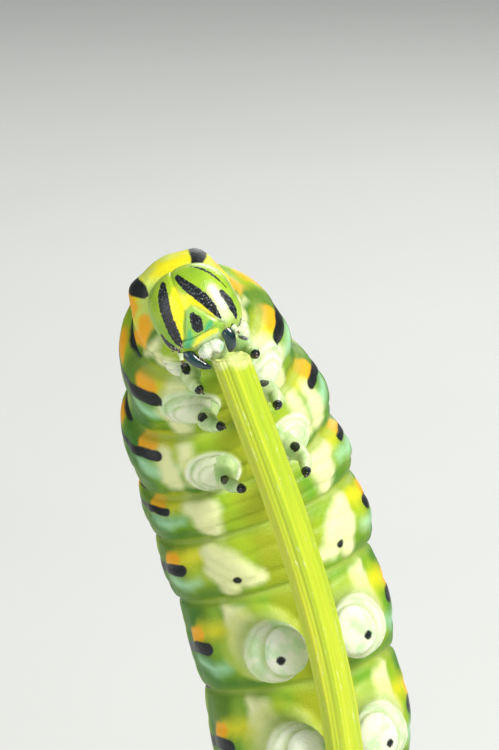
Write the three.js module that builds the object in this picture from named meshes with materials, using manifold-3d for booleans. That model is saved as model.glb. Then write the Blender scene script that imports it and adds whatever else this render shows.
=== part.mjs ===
// A last-instar swallowtail larva biting the cut top of a green stem, life size, on a display stand.
// Millimetres, +Z up. The origin is the centre of the base's underside. The face looks towards -Y.
// The animal's own left is +X, because it faces the viewer.
import * as THREE from "three";
import { mergeVertices } from "three/addons/utils/BufferGeometryUtils.js";
import Module from "manifold-3d";

const wasm = await Module();
wasm.setup();

// Fit of neighbouring pieces
const GAP = 0.3;
const FINE_GAP = 0.2;
const WELD_DISTANCE = 1e-4;

// Display stand
const BASE_RADIUS = 19;
const BASE_THICKNESS = 4;
const BASE_BEVEL = 0.6;
const BASE_SIDES = 48;
const ROD_RADIUS = 1.1;
const ROD_LENGTH = 7;
const CUP_RADIUS = 1.9;
const CUP_HEIGHT = 4;
const CUP_FLOOR = 1;
const ROD_SIDES = 20;
const CUP_SIDES = 24;

// Stem, measured down from its bitten top
const STEM_RADIUS = 0.75;
const STEM_LENGTH = 44;
const AXIS_STEP = 0.25;
const AXIS_STEPS_PER_RING = 6;
const STEM_RIBS = 8;
const RIB_HEIGHT = 0.05;
const STEM_SIDES = 24;
const STEM_Y = -2.5;
const TOP_LEAN = 19.5;
const LEAN_EASES_FROM = 3;
const LEAN_GONE_AT = 26;
const BITE_SLOPE = 0.22;
const BITE_RAGGED = 0.07;

// Body, from the collar behind the head to the tail. Angles in degrees, half sizes in millimetres:
// pitch bends the axis forwards, lean tips it to -X, half is half the width,
// back and belly reach from the axis to the dorsal and the ventral surface.
const SEGMENTS = [
  { name: "thorax_1", length: 2.7, pitch: 60, lean: 14, half: 2.1, back: 2.4, belly: 1.9 },
  { name: "thorax_2", length: 3.9, pitch: 36, lean: 13, half: 3.35, back: 3.1, belly: 2.7 },
  { name: "thorax_3", length: 3.3, pitch: 15, lean: 16.5, half: 4.15, back: 3.75, belly: 3.15 },
  { name: "abdomen_1", length: 2.35, pitch: 5, lean: 17.5, half: 4.3, back: 4.0, belly: 3.45 },
  { name: "abdomen_2", length: 2.95, pitch: -3, lean: 17, half: 4.3, back: 4.05, belly: 3.6 },
  { name: "abdomen_3", length: 4.1, pitch: -6, lean: 14, half: 4.1, back: 4.0, belly: 3.6 },
  { name: "abdomen_4", length: 4.4, pitch: -6, lean: 9.5, half: 4.0, back: 4.0, belly: 3.6 },
  { name: "abdomen_5", length: 4.3, pitch: -2, lean: 5, half: 4.0, back: 3.95, belly: 3.55 },
  { name: "abdomen_6", length: 4.1, pitch: 1, lean: 1.5, half: 3.9, back: 3.85, belly: 3.45 },
  { name: "abdomen_7", length: 3.6, pitch: 2, lean: 0, half: 3.7, back: 3.6, belly: 3.3 },
  { name: "abdomen_8", length: 3.0, pitch: -4, lean: 0, half: 3.3, back: 3.1, belly: 2.9 },
  { name: "abdomen_9", length: 1.8, pitch: -14, lean: 0, half: 2.85, back: 2.6, belly: 2.4 },
  { name: "abdomen_10", length: 2.8, pitch: -28, lean: 0, half: 2.3, back: 1.9, belly: 1.8 },
];
const ROLL = 17;
const BODY_SIDES = 36;
const STEPS_PER_SEGMENT = 6;
const FOLD_DEPTH = 0.045;
const FOLD_SHARPNESS = 0.6;
const LOBE_HEIGHT = 0.3;
const LOBE_ANGLE = 118;
const LOBE_SPREAD = 20;
const NECK_HALF = 1.9;
const NECK_FROM_STEM_TOP = new THREE.Vector3(-1.8, 1.08, 1.86);
const TAIL_ROUNDING = [0.86, 0.62, 0.3];

// Head: centre set from the stem's top, half sizes across, up, down, forwards and back
const HEAD_FROM_STEM_TOP = new THREE.Vector3(-1.42, 0.5, 1.92);
const HEAD_PITCH = 74;
const HEAD_LEAN = 14;
const HEAD_ROLL = 14;
const HEAD_YAW = -8;
const HEAD = { half: 1.7, up: 1.68, down: 1.5, front: 1.2, rear: 1.15 };
const HEAD_BOXINESS = 0.86;
const VERTEX_GROOVE = { depth: 0.16, width: 0.22, fullAt: -0.6 };
const HEAD_SIDES = 32;
const HEAD_RINGS = 22;
const FACE_GROOVE = { depth: 0.06, width: 0.07, apex: 0.05, spread: 0.72 };

// Mouthparts in the head's frame: across to the animal's left, down the face, out of the face
const LABRUM = { half: 0.54, height: 0.34, depth: 0.26, down: 1.86, out: 0.62, notch: 0.2, notchHalf: 0.3 };
const MANDIBLES = {
  left: [[0.74, 1.3, 0.3], [0.82, 1.65, 0.42], [0.74, 2.0, 0.45], [0.5, 2.26, 0.38]],
  right: [[-0.68, 1.35, 0.3], [-0.7, 1.7, 0.42], [-0.56, 2.06, 0.45], [-0.3, 2.36, 0.38]],
};
const MANDIBLE_RADII = [0.28, 0.3, 0.26, 0.12];
const MANDIBLE_SIDES = 10;
const MANDIBLE_FLATNESS = 0.85;
const ANTENNA = { root: [1.36, 1.1, 0.2], tip: [1.5, 1.85, 0.42], radii: [0.25, 0.25, 0.24, 0.16] };
const ANTENNA_SIDES = 8;
const LABIUM = { half: 0.55, height: 0.42, depth: 0.38, down: 1.78, out: -0.18 };

// Eyes: small domes in an arc on each cheek, given by angle across and down the head
const EYES = {
  count: 6,
  radius: 0.15,
  sink: 0.35,
  acrossFrom: 58,
  acrossStep: 5,
  downFrom: 15,
  downStep: 7,
  arcMiddle: 2,
  sides: 6,
  rings: 4,
};

// True legs: hip on the segment's belly, tip placed from the stem's top
const LEGS = {
  thorax_1: { hipOut: 0.85, hipAlong: 0.1, left: [0.98, 0.2, 0.12], right: [-1.16, 0.25, -1.33] },
  thorax_2: { hipOut: 1.05, hipAlong: 0.0, left: [1.8, 0.2, -1.95], right: [-0.3, 0.25, -2.74] },
  thorax_3: { hipOut: 1.15, hipAlong: 0.0, left: [2.92, 0.4, -4.75], right: [0.52, 0.35, -5.33] },
};
const LEG_RADII = [0.78, 0.66, 0.46, 0.34, 0.27, 0.1];
const LEG_SIDES = 12;
const LEG_KNEE = { along: 0.6, outwards: 0.22 };
const HIP_DEPTH = 0.75;

// Abdominal prolegs on segments 3 to 6, and the pair at the tail
const PROLEG = { rootOut: 2.2, rootDepth: 1.6, tipOut: 1.6, tipDepth: 5.3, half: 1.1, along: 1.25 };
const PROLEG_PROFILE = [
  [0, 1.2],
  [0.35, 1.16],
  [0.62, 1.0],
  [0.74, 1.04],
  [0.86, 1.0],
  [0.95, 0.78],
  [1, 0.4],
];
const TAIL_PROLEG = { rootOut: 1.25, rootDepth: 0.3, tipOut: 1.4, tipDepth: 3.9, half: 0.9, along: 1.1 };
const PROLEG_SIDES = 16;

const DEG = Math.PI / 180;

// Colours and finishes, one row for each kind of surface
const FINISHES = {
  skin: { color: 0x8fbf2f, roughness: 0.5, metalness: 0 },
  pale: { color: 0xe4eebc, roughness: 0.5, metalness: 0 },
  face: { color: 0xb5d233, roughness: 0.35, metalness: 0 },
  horn: { color: 0x10140f, roughness: 0.2, metalness: 0 },
  stem: { color: 0xb4cc1c, roughness: 0.45, metalness: 0 },
  brass: { color: 0xb08d4a, roughness: 0.3, metalness: 1 },
  wood: { color: 0x3b2a1e, roughness: 0.4, metalness: 0 },
};

function toSolid(geometry) {
  const bare = geometry.clone();
  for (const name of Object.keys(bare.attributes)) {
    if (name !== "position") bare.deleteAttribute(name);
  }
  const merged = mergeVertices(bare, WELD_DISTANCE);
  return new wasm.Manifold(new wasm.Mesh({
    numProp: 3,
    vertProperties: new Float32Array(merged.attributes.position.array),
    triVerts: new Uint32Array(merged.index.array),
  }));
}

function toGeometry(solid) {
  const mesh = solid.getMesh();
  const geometry = new THREE.BufferGeometry();
  geometry.setAttribute("position", new THREE.BufferAttribute(new Float32Array(mesh.vertProperties), 3));
  geometry.setIndex(new THREE.BufferAttribute(new Uint32Array(mesh.triVerts), 1));
  geometry.computeVertexNormals();
  return geometry;
}

function largestBody(solid) {
  const bodies = solid.decompose();
  return bodies.reduce((best, body) => (body.volume() > best.volume() ? body : best));
}

// Joins rings of equal count into one closed surface, with a fan over each end.
function loft(rings) {
  const count = rings[0].length;
  const points = rings.flat();
  const index = [];
  for (let r = 0; r + 1 < rings.length; r += 1) {
    for (let i = 0; i < count; i += 1) {
      const a = r * count + i;
      const b = r * count + ((i + 1) % count);
      index.push(a, b, a + count, b, b + count, a + count);
    }
  }
  for (const [ring, first] of [[0, true], [rings.length - 1, false]]) {
    const centre = new THREE.Vector3();
    rings[ring].forEach((point) => centre.addScaledVector(point, 1 / count));
    const hub = points.push(centre) - 1;
    for (let i = 0; i < count; i += 1) {
      const a = ring * count + i;
      const b = ring * count + ((i + 1) % count);
      index.push(...(first ? [hub, b, a] : [hub, a, b]));
    }
  }
  const geometry = new THREE.BufferGeometry().setFromPoints(points);
  geometry.setIndex(index);
  geometry.computeVertexNormals();
  return outwards(geometry);
}

// Turns a closed surface round if its faces point inwards.
function outwards(geometry) {
  const position = geometry.attributes.position;
  const index = geometry.index.array;
  const [a, b, c] = [new THREE.Vector3(), new THREE.Vector3(), new THREE.Vector3()];
  let volume = 0;
  for (let i = 0; i < index.length; i += 3) {
    a.fromBufferAttribute(position, index[i]);
    b.fromBufferAttribute(position, index[i + 1]);
    c.fromBufferAttribute(position, index[i + 2]);
    volume += a.dot(b.cross(c));
  }
  if (volume < 0) {
    for (let i = 0; i < index.length; i += 3) {
      [index[i + 1], index[i + 2]] = [index[i + 2], index[i + 1]];
    }
  }
  return geometry;
}

function smoothstep(from, to, value) {
  const t = Math.min(1, Math.max(0, (value - from) / (to - from)));
  return t * t * (3 - 2 * t);
}

// A turned frame: x to the animal's left, y towards its back, z towards its head.
function bodyTurn(pitch, lean, roll) {
  const p = pitch * DEG;
  const r = roll * DEG;
  const head = new THREE.Vector3(0, -Math.sin(p), Math.cos(p));
  const belly0 = new THREE.Vector3(0, -Math.cos(p), -Math.sin(p));
  const left0 = new THREE.Vector3(1, 0, 0);
  const belly = belly0.clone().multiplyScalar(Math.cos(r)).addScaledVector(left0, Math.sin(r));
  const left = left0.clone().multiplyScalar(Math.cos(r)).addScaledVector(belly0, -Math.sin(r));
  const turn = new THREE.Matrix4().makeBasis(left, belly.negate(), head);
  const tip = new THREE.Matrix4().makeRotationY(-lean * DEG);
  return new THREE.Quaternion().setFromRotationMatrix(tip.multiply(turn));
}

function frameAt(position, turn) {
  return {
    position,
    turn,
    left: new THREE.Vector3(1, 0, 0).applyQuaternion(turn),
    belly: new THREE.Vector3(0, -1, 0).applyQuaternion(turn),
    head: new THREE.Vector3(0, 0, 1).applyQuaternion(turn),
  };
}

// The stem's axis in small steps, from its top down, with the lean easing away.
function stemAxis() {
  const points = [new THREE.Vector3()];
  const count = STEM_LENGTH / AXIS_STEP;
  for (let i = 0; i < count; i += 1) {
    const depth = (i + 0.5) * AXIS_STEP;
    const lean = TOP_LEAN * (1 - smoothstep(LEAN_EASES_FROM, LEAN_GONE_AT, depth)) * DEG;
    const step = new THREE.Vector3(Math.sin(lean), 0, -Math.cos(lean)).multiplyScalar(AXIS_STEP);
    points.push(points[i].clone().add(step));
  }
  return points;
}

const stemFoot = stemAxis().pop();
const STEM_TOP = new THREE.Vector3(
  -stemFoot.x,
  STEM_Y,
  BASE_THICKNESS + GAP + ROD_LENGTH + GAP + CUP_FLOOR + GAP - stemFoot.z,
);

function stemGeometry(grow) {
  const axis = stemAxis().map((point) => point.add(STEM_TOP));
  const last = axis.length - 1;
  const ringCount = Math.ceil(last / AXIS_STEPS_PER_RING);
  const rings = [];
  for (let r = 0; r <= ringCount; r += 1) {
    const s = Math.min(r * AXIS_STEPS_PER_RING, last);
    const along = axis[Math.min(s + 1, last)].clone().sub(axis[Math.max(s - 1, 0)]).normalize();
    const side = new THREE.Vector3(0, 1, 0);
    const across = side.clone().cross(along).normalize();
    const ring = [];
    for (let i = 0; i < STEM_SIDES; i += 1) {
      const angle = (i / STEM_SIDES) * 2 * Math.PI;
      const radius = STEM_RADIUS + grow + RIB_HEIGHT * Math.cos(STEM_RIBS * angle);
      const point = axis[s].clone().addScaledVector(across, radius * Math.cos(angle));
      point.addScaledVector(side, radius * Math.sin(angle));
      if (s === 0) {
        const ragged = BITE_RAGGED * (Math.sin(3 * angle) + Math.sin(7 * angle + 1));
        const slope = BITE_SLOPE * Math.cos(angle) * Math.sign(across.x);
        point.addScaledVector(along, slope - grow - ragged);
      }
      ring.push(point);
    }
    rings.push(ring);
  }
  return loft(rings);
}

const UP = new THREE.Vector3(0, 1, 0);
const YAW_TURN = new THREE.Quaternion().setFromAxisAngle(UP, HEAD_YAW * DEG);
const HEAD_TURN = bodyTurn(HEAD_PITCH, HEAD_LEAN, HEAD_ROLL).multiply(YAW_TURN);

// The planes between segments, each turned half way between its two neighbours.
function jointFrames() {
  const turns = SEGMENTS.map((segment) => bodyTurn(segment.pitch, segment.lean, ROLL));
  const frames = [];
  const position = NECK_FROM_STEM_TOP.clone().add(STEM_TOP);
  SEGMENTS.forEach((segment, i) => {
    const before = i === 0 ? HEAD_TURN : turns[i - 1];
    frames.push(frameAt(position.clone(), before.clone().slerp(turns[i], 0.5)));
    const tailwards = new THREE.Vector3(0, 0, -segment.length).applyQuaternion(turns[i]);
    position.add(tailwards);
  });
  frames.push(frameAt(position.clone(), turns[turns.length - 1].clone()));
  return frames;
}

const JOINTS = jointFrames();

function jointSize(i) {
  if (i === 0) {
    const first = SEGMENTS[0];
    const k = NECK_HALF / first.half;
    return { half: NECK_HALF, back: first.back * k, belly: first.belly * k };
  }
  const before = SEGMENTS[i - 1];
  const after = SEGMENTS[Math.min(i, SEGMENTS.length - 1)];
  const k = (1 - FOLD_DEPTH) / 2;
  return {
    half: (before.half + after.half) * k,
    back: (before.back + after.back) * k,
    belly: (before.belly + after.belly) * k,
  };
}

// One cross-section of the body: a rounded outline, flatter below, with a lobe low on each side.
function sectionRing(frame, size, lobe, grow) {
  const ring = [];
  for (let i = 0; i < BODY_SIDES; i += 1) {
    const angle = (i / BODY_SIDES) * 2 * Math.PI;
    const fromBack = angle <= Math.PI ? angle : 2 * Math.PI - angle;
    const swell = lobe * Math.exp(-(((fromBack / DEG - LOBE_ANGLE) / LOBE_SPREAD) ** 2));
    const height = Math.cos(angle) > 0 ? size.back : size.belly;
    const across = (size.half + swell + grow) * Math.sin(angle);
    const below = -(height + swell + grow) * Math.cos(angle);
    const point = frame.position.clone().addScaledVector(frame.left, across);
    ring.push(point.addScaledVector(frame.belly, below));
  }
  return ring;
}

function segmentRings(i, grow, inset) {
  const segment = SEGMENTS[i];
  const [front, rear] = [JOINTS[i], JOINTS[i + 1]];
  const [sizeFront, sizeRear] = [jointSize(i), jointSize(i + 1)];
  const isTail = i === SEGMENTS.length - 1;
  const rings = [];
  for (let s = 0; s <= STEPS_PER_SEGMENT; s += 1) {
    const u = s / STEPS_PER_SEGMENT;
    const position = front.position.clone().lerp(rear.position, u);
    if (s === 0) position.addScaledVector(front.head, -inset);
    if (s === STEPS_PER_SEGMENT && !isTail) position.addScaledVector(rear.head, inset);
    const frame = frameAt(position, front.turn.clone().slerp(rear.turn, u));
    const swell = Math.sin(Math.PI * u) ** FOLD_SHARPNESS;
    const size = {};
    for (const key of ["half", "back", "belly"]) {
      const between = THREE.MathUtils.lerp(sizeFront[key], sizeRear[key], u);
      size[key] = THREE.MathUtils.lerp(between, segment[key], swell);
      if (isTail) size[key] = THREE.MathUtils.lerp(sizeFront[key], segment[key], swell) * tailTaper(s);
    }
    rings.push(sectionRing(frame, size, i === 0 ? 0 : LOBE_HEIGHT * swell ** 2, grow));
  }
  return rings;
}

// The last rings close in a round end.
function tailTaper(step) {
  const fromEnd = STEPS_PER_SEGMENT - step;
  return fromEnd < TAIL_ROUNDING.length ? TAIL_ROUNDING[TAIL_ROUNDING.length - 1 - fromEnd] : 1;
}

// The whole body as one closed surface, swollen by the given amount, for clearing what grows on it.
function bodyEnvelope(grow) {
  const rings = [];
  SEGMENTS.forEach((segment, i) => {
    const own = segmentRings(i, grow, 0);
    rings.push(...(i === 0 ? own : own.slice(1)));
  });
  rings[0].forEach((point) => point.addScaledVector(JOINTS[0].head, grow));
  rings[rings.length - 1].forEach((point) => point.addScaledVector(JOINTS[JOINTS.length - 1].head, -grow));
  return loft(rings);
}

// Head capsule: a boxed ellipsoid with a groove down the crown, a sunk frons outline and low eye domes.
function headGeometry(grow) {
  const sphere = new THREE.SphereGeometry(1, HEAD_SIDES, HEAD_RINGS);
  const position = sphere.attributes.position;
  const point = new THREE.Vector3();
  for (let i = 0; i < position.count; i += 1) {
    point.fromBufferAttribute(position, i);
    const unit = [point.x, point.y, point.z].map((v) => Math.sign(v) * Math.abs(v) ** HEAD_BOXINESS);
    const across = unit[0] * (HEAD.half + grow);
    const up = unit[1] * ((unit[1] > 0 ? HEAD.up : HEAD.down) + grow);
    const out = unit[2] * ((unit[2] > 0 ? HEAD.front : HEAD.rear) + grow);
    const sunk = grow > 0 ? 0 : grooveDepth(across, -up, out);
    const length = Math.hypot(across, up, out);
    const k = (length - sunk) / length;
    position.setXYZ(i, across * k, up * k, out * k);
  }
  return indexed(sphere);
}

// How far the head's surface sinks at the crown's groove and along the two sides of the frons.
function grooveDepth(across, down, out) {
  const crown = smoothstep(FACE_GROOVE.apex, VERTEX_GROOVE.fullAt, down);
  const vertex = VERTEX_GROOVE.depth * Math.exp(-((across / VERTEX_GROOVE.width) ** 2)) * crown;
  const edge = Math.abs(across) - Math.max(0, down - FACE_GROOVE.apex) * FACE_GROOVE.spread;
  const shown = out > 0 && down > FACE_GROOVE.apex ? 1 : 0;
  return vertex + FACE_GROOVE.depth * Math.exp(-((edge / FACE_GROOVE.width) ** 2)) * shown;
}

// A point of the plain head surface from its angles across and down.
function headSurfacePoint(acrossAngle, downAngle) {
  const a = acrossAngle * DEG;
  const d = downAngle * DEG;
  const unit = [Math.sin(a) * Math.cos(d), -Math.sin(d), Math.cos(a) * Math.cos(d)];
  const boxed = unit.map((v) => Math.sign(v) * Math.abs(v) ** HEAD_BOXINESS);
  return new THREE.Vector3(boxed[0] * HEAD.half, boxed[1] * HEAD.down, boxed[2] * HEAD.front);
}

function headWithEyes() {
  let solid = toSolid(headGeometry(0));
  for (const side of [1, -1]) {
    for (let e = 0; e < EYES.count; e += 1) {
      const across = EYES.acrossFrom + EYES.acrossStep * Math.abs(e - EYES.arcMiddle);
      const down = EYES.downFrom + EYES.downStep * e;
      const place = headSurfacePoint(across, down);
      place.multiplyScalar(1 - (EYES.radius * EYES.sink) / place.length());
      const dome = new THREE.SphereGeometry(EYES.radius, EYES.sides, EYES.rings);
      dome.translate(place.x * side, place.y, place.z);
      solid = solid.add(toSolid(dome));
    }
  }
  return largestBody(solid);
}

// A tapered limb of elliptical sections along a smooth path.
function limb(path, radii, sides, flatness = 1) {
  const curve = new THREE.CatmullRomCurve3(path);
  const start = path[0];
  const end = path[path.length - 1];
  const along = end.clone().sub(start).normalize();
  const runsAcross = Math.abs(along.x) > Math.abs(along.y) + Math.abs(along.z);
  const reference = runsAcross ? new THREE.Vector3(0, 1, 0) : new THREE.Vector3(1, 0, 0);
  const side = reference.sub(along.clone().multiplyScalar(reference.dot(along))).normalize();
  const other = along.clone().cross(side);
  return loft(radii.map((radius, s) => {
    const centre = curve.getPoint(s / (radii.length - 1));
    return Array.from({ length: sides }, (_, i) => {
      const angle = (i / sides) * 2 * Math.PI;
      const point = centre.clone().addScaledVector(side, radius * Math.cos(angle));
      return point.addScaledVector(other, radius * flatness * Math.sin(angle));
    });
  }));
}

function midFrame(name) {
  const i = SEGMENTS.findIndex((segment) => segment.name === name);
  const [front, rear] = [JOINTS[i], JOINTS[i + 1]];
  const position = front.position.clone().lerp(rear.position, 0.5);
  const turn = front.turn.clone().slerp(rear.turn, 0.5);
  return { ...frameAt(position, turn), segment: SEGMENTS[i] };
}

function placeIn(frame, across, down, along) {
  const point = frame.position.clone().addScaledVector(frame.left, across);
  return point.addScaledVector(frame.belly, down).addScaledVector(frame.head, along);
}

function legGeometry(name, side) {
  const spec = LEGS[name];
  const frame = midFrame(name);
  const sign = side === "left" ? 1 : -1;
  const hip = placeIn(frame, sign * spec.hipOut, frame.segment.belly - HIP_DEPTH, spec.hipAlong);
  const tip = new THREE.Vector3(...spec[side]).add(STEM_TOP);
  const knee = hip.clone().lerp(tip, LEG_KNEE.along).addScaledVector(frame.left, sign * LEG_KNEE.outwards);
  return limb([hip, hip.clone().lerp(knee, 0.6), knee, tip], LEG_RADII, LEG_SIDES);
}

// A fleshy proleg: a leaning cone with a soft waist and a broad gripping pad at its end.
function prolegGeometry(frame, spec, side) {
  const sign = side === "left" ? 1 : -1;
  const root = placeIn(frame, sign * spec.rootOut, spec.rootDepth, 0);
  const tip = placeIn(frame, sign * spec.tipOut, spec.tipDepth, 0);
  return loft(PROLEG_PROFILE.map(([t, k]) => {
    const centre = root.clone().lerp(tip, t);
    return Array.from({ length: PROLEG_SIDES }, (_, i) => {
      const angle = (i / PROLEG_SIDES) * 2 * Math.PI;
      const point = centre.clone().addScaledVector(frame.left, spec.half * k * Math.cos(angle));
      return point.addScaledVector(frame.head, spec.along * k * Math.sin(angle));
    });
  }));
}

// Upper lip: a small rounded plate, notched in the middle of its lower edge.
function labrumGeometry() {
  const plate = new THREE.SphereGeometry(1, 20, 12);
  const position = plate.attributes.position;
  for (let i = 0; i < position.count; i += 1) {
    const across = position.getX(i);
    const up = position.getY(i);
    const notch = LABRUM.notch * Math.exp(-((across / LABRUM.notchHalf) ** 2)) * Math.max(0, -up);
    const x = across * LABRUM.half;
    const y = (up + notch) * LABRUM.height - LABRUM.down;
    position.setXYZ(i, x, y, LABRUM.out + position.getZ(i) * LABRUM.depth);
  }
  return indexed(plate);
}

function indexed(geometry) {
  geometry.deleteAttribute("uv");
  geometry.deleteAttribute("normal");
  return mergeVertices(geometry, WELD_DISTANCE);
}

function labiumGeometry() {
  const lump = new THREE.SphereGeometry(1, 16, 10);
  lump.scale(LABIUM.half, LABIUM.height, LABIUM.depth);
  lump.translate(0, -LABIUM.down, LABIUM.out);
  return indexed(lump);
}

// A place on the face from its distance across, down and out.
function onFace([across, down, out]) {
  return new THREE.Vector3(across, -down, out);
}

function mandibleGeometry(side) {
  return limb(MANDIBLES[side].map(onFace), MANDIBLE_RADII, MANDIBLE_SIDES, MANDIBLE_FLATNESS);
}

function antennaGeometry(side) {
  const sign = side === "left" ? 1 : -1;
  const [root, tip] = [ANTENNA.root, ANTENNA.tip].map(([a, d, o]) => onFace([a * sign, d, o]));
  return limb([root, root.clone().lerp(tip, 0.5), tip], ANTENNA.radii, ANTENNA_SIDES);
}

function addMesh(group, name, geometry, finish) {
  const mesh = new THREE.Mesh(geometry, new THREE.MeshStandardMaterial(FINISHES[finish]));
  mesh.name = name;
  group.add(mesh);
  return mesh;
}

// Base, rod and cup, one above the other under the stem's foot.
function addStand(group) {
  const b = BASE_BEVEL;
  const profile = [[0, 0], [BASE_RADIUS - b, 0], [BASE_RADIUS, b], [BASE_RADIUS, BASE_THICKNESS - b]];
  profile.push([BASE_RADIUS - b, BASE_THICKNESS], [0, BASE_THICKNESS]);
  const base = new THREE.LatheGeometry(profile.map((p) => new THREE.Vector2(...p)), BASE_SIDES);
  addMesh(group, "stand_base", base, "wood").rotation.x = Math.PI / 2;
  const rod = new THREE.CylinderGeometry(ROD_RADIUS, ROD_RADIUS, ROD_LENGTH, ROD_SIDES);
  const rodMesh = addMesh(group, "stand_rod", rod, "brass");
  rodMesh.rotation.x = Math.PI / 2;
  rodMesh.position.set(0, STEM_Y, BASE_THICKNESS + GAP + ROD_LENGTH / 2);
  const inner = STEM_RADIUS + RIB_HEIGHT + GAP;
  const cupProfile = [[0, 0], [CUP_RADIUS, 0], [CUP_RADIUS, CUP_HEIGHT], [inner, CUP_HEIGHT]];
  cupProfile.push([inner, CUP_FLOOR], [0, CUP_FLOOR]);
  const cup = new THREE.LatheGeometry(cupProfile.map((p) => new THREE.Vector2(...p)), CUP_SIDES);
  const cupMesh = addMesh(group, "stand_cup", cup, "brass");
  cupMesh.rotation.x = Math.PI / 2;
  cupMesh.position.set(0, STEM_Y, BASE_THICKNESS + GAP + ROD_LENGTH + GAP);
}

// The head and its mouthparts, placed and turned as one. Gives back the room that the body leaves for it.
function addHead(group, stemRoom, bodyRoom) {
  const head = new THREE.Group();
  head.position.copy(HEAD_FROM_STEM_TOP).add(STEM_TOP);
  head.quaternion.copy(HEAD_TURN);
  head.updateMatrixWorld(true);
  const toHead = head.matrixWorld.clone().invert();
  const stem = toSolid(stemRoom.clone().applyMatrix4(toHead));
  const body = toSolid(bodyRoom.clone().applyMatrix4(toHead));
  const capsule = headWithEyes().subtract(stem);
  const room = toSolid(headGeometry(FINE_GAP));
  addMesh(head, "head_capsule", toGeometry(largestBody(capsule)), "face");
  const labrum = toSolid(labrumGeometry()).subtract(room).subtract(stem);
  addMesh(head, "labrum", toGeometry(largestBody(labrum)), "pale");
  const labrumRoom = labrumGeometry();
  labrumRoom.translate(0, LABRUM.down, -LABRUM.out);
  const swell = 1 + FINE_GAP / LABRUM.depth;
  labrumRoom.scale(1 + FINE_GAP / LABRUM.half, 1 + FINE_GAP / LABRUM.height, swell);
  labrumRoom.translate(0, -LABRUM.down, LABRUM.out);
  const clearOfLabrum = toSolid(labrumRoom);
  for (const side of ["left", "right"]) {
    const jaw = toSolid(mandibleGeometry(side)).subtract(room).subtract(clearOfLabrum).subtract(stem);
    addMesh(head, `mandible_${side}`, toGeometry(largestBody(jaw)), "horn");
    const feeler = toSolid(antennaGeometry(side)).subtract(room);
    addMesh(head, `antenna_${side}`, toGeometry(largestBody(feeler)), "pale");
  }
  const labium = toSolid(labiumGeometry()).subtract(room).subtract(stem).subtract(body);
  addMesh(head, "labium", toGeometry(largestBody(labium)), "pale");
  group.add(head);
  return toSolid(headGeometry(GAP).applyMatrix4(head.matrixWorld));
}

function addBody(group, headRoom) {
  SEGMENTS.forEach((segment, i) => {
    let solid = toSolid(loft(segmentRings(i, 0, GAP / 2)));
    if (i === 0) solid = solid.subtract(headRoom);
    addMesh(group, segment.name, toGeometry(largestBody(solid)), "skin");
  });
}

function addLimbs(group, headRoom, stem, envelope) {
  const clear = (geometry) => largestBody(
    toSolid(geometry).subtract(envelope).subtract(headRoom).subtract(stem),
  );
  for (const side of ["left", "right"]) {
    Object.keys(LEGS).forEach((name, i) => {
      addMesh(group, `leg_t${i + 1}_${side}`, toGeometry(clear(legGeometry(name, side))), "pale");
    });
    for (let n = 3; n <= 6; n += 1) {
      const geometry = prolegGeometry(midFrame(`abdomen_${n}`), PROLEG, side);
      addMesh(group, `proleg_a${n}_${side}`, toGeometry(clear(geometry)), "pale");
    }
    const tail = prolegGeometry(midFrame("abdomen_10"), TAIL_PROLEG, side);
    addMesh(group, `proleg_tail_${side}`, toGeometry(clear(tail)), "pale");
  }
}

const larva = new THREE.Group();
larva.name = "swallowtail_larva";
addStand(larva);
addMesh(larva, "stem", stemGeometry(0), "stem");
const stemRoom = stemGeometry(GAP);
const bodyRoom = bodyEnvelope(GAP);
const headRoom = addHead(larva, stemRoom, bodyRoom);
addBody(larva, headRoom);
addLimbs(larva, headRoom, toSolid(stemRoom), toSolid(bodyRoom));

export default larva;
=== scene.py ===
# A last-instar swallowtail larva biting the cut top of a green stem, life size, on a small display stand.
import math

import bpy
import numpy as np
from mathutils import Matrix, Vector


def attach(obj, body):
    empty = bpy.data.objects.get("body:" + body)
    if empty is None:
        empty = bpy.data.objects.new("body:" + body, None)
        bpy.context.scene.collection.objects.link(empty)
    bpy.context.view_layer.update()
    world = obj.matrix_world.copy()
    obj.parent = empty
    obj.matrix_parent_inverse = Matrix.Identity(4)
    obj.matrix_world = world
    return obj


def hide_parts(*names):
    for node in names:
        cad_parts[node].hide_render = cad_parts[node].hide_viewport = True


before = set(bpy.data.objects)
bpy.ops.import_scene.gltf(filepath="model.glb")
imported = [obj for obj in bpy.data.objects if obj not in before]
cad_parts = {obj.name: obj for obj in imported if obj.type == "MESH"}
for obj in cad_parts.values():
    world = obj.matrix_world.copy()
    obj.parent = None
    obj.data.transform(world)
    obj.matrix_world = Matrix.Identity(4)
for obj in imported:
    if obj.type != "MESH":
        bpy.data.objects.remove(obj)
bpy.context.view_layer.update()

MM = 0.001
FAR = 9.0
SIDES = ((1, "left"), (-1, "right"))

# Camera of the photograph: 16 degrees above the horizon, a long lens
CAMERA_PLACE = (-4.157, -175.686, 105.297)
CAMERA_TILT = 74.0
CAMERA_LENS = 224.64


def add_camera():
    data = bpy.data.cameras.new("camera")
    data.sensor_width = 36.0
    data.lens = CAMERA_LENS
    data.clip_start = 0.005
    camera = bpy.data.objects.new("camera", data)
    camera.location = [v * MM for v in CAMERA_PLACE]
    camera.rotation_euler = (math.radians(CAMERA_TILT), 0, 0)
    bpy.context.scene.collection.objects.link(camera)
    bpy.context.scene.camera = camera


add_camera()

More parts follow.
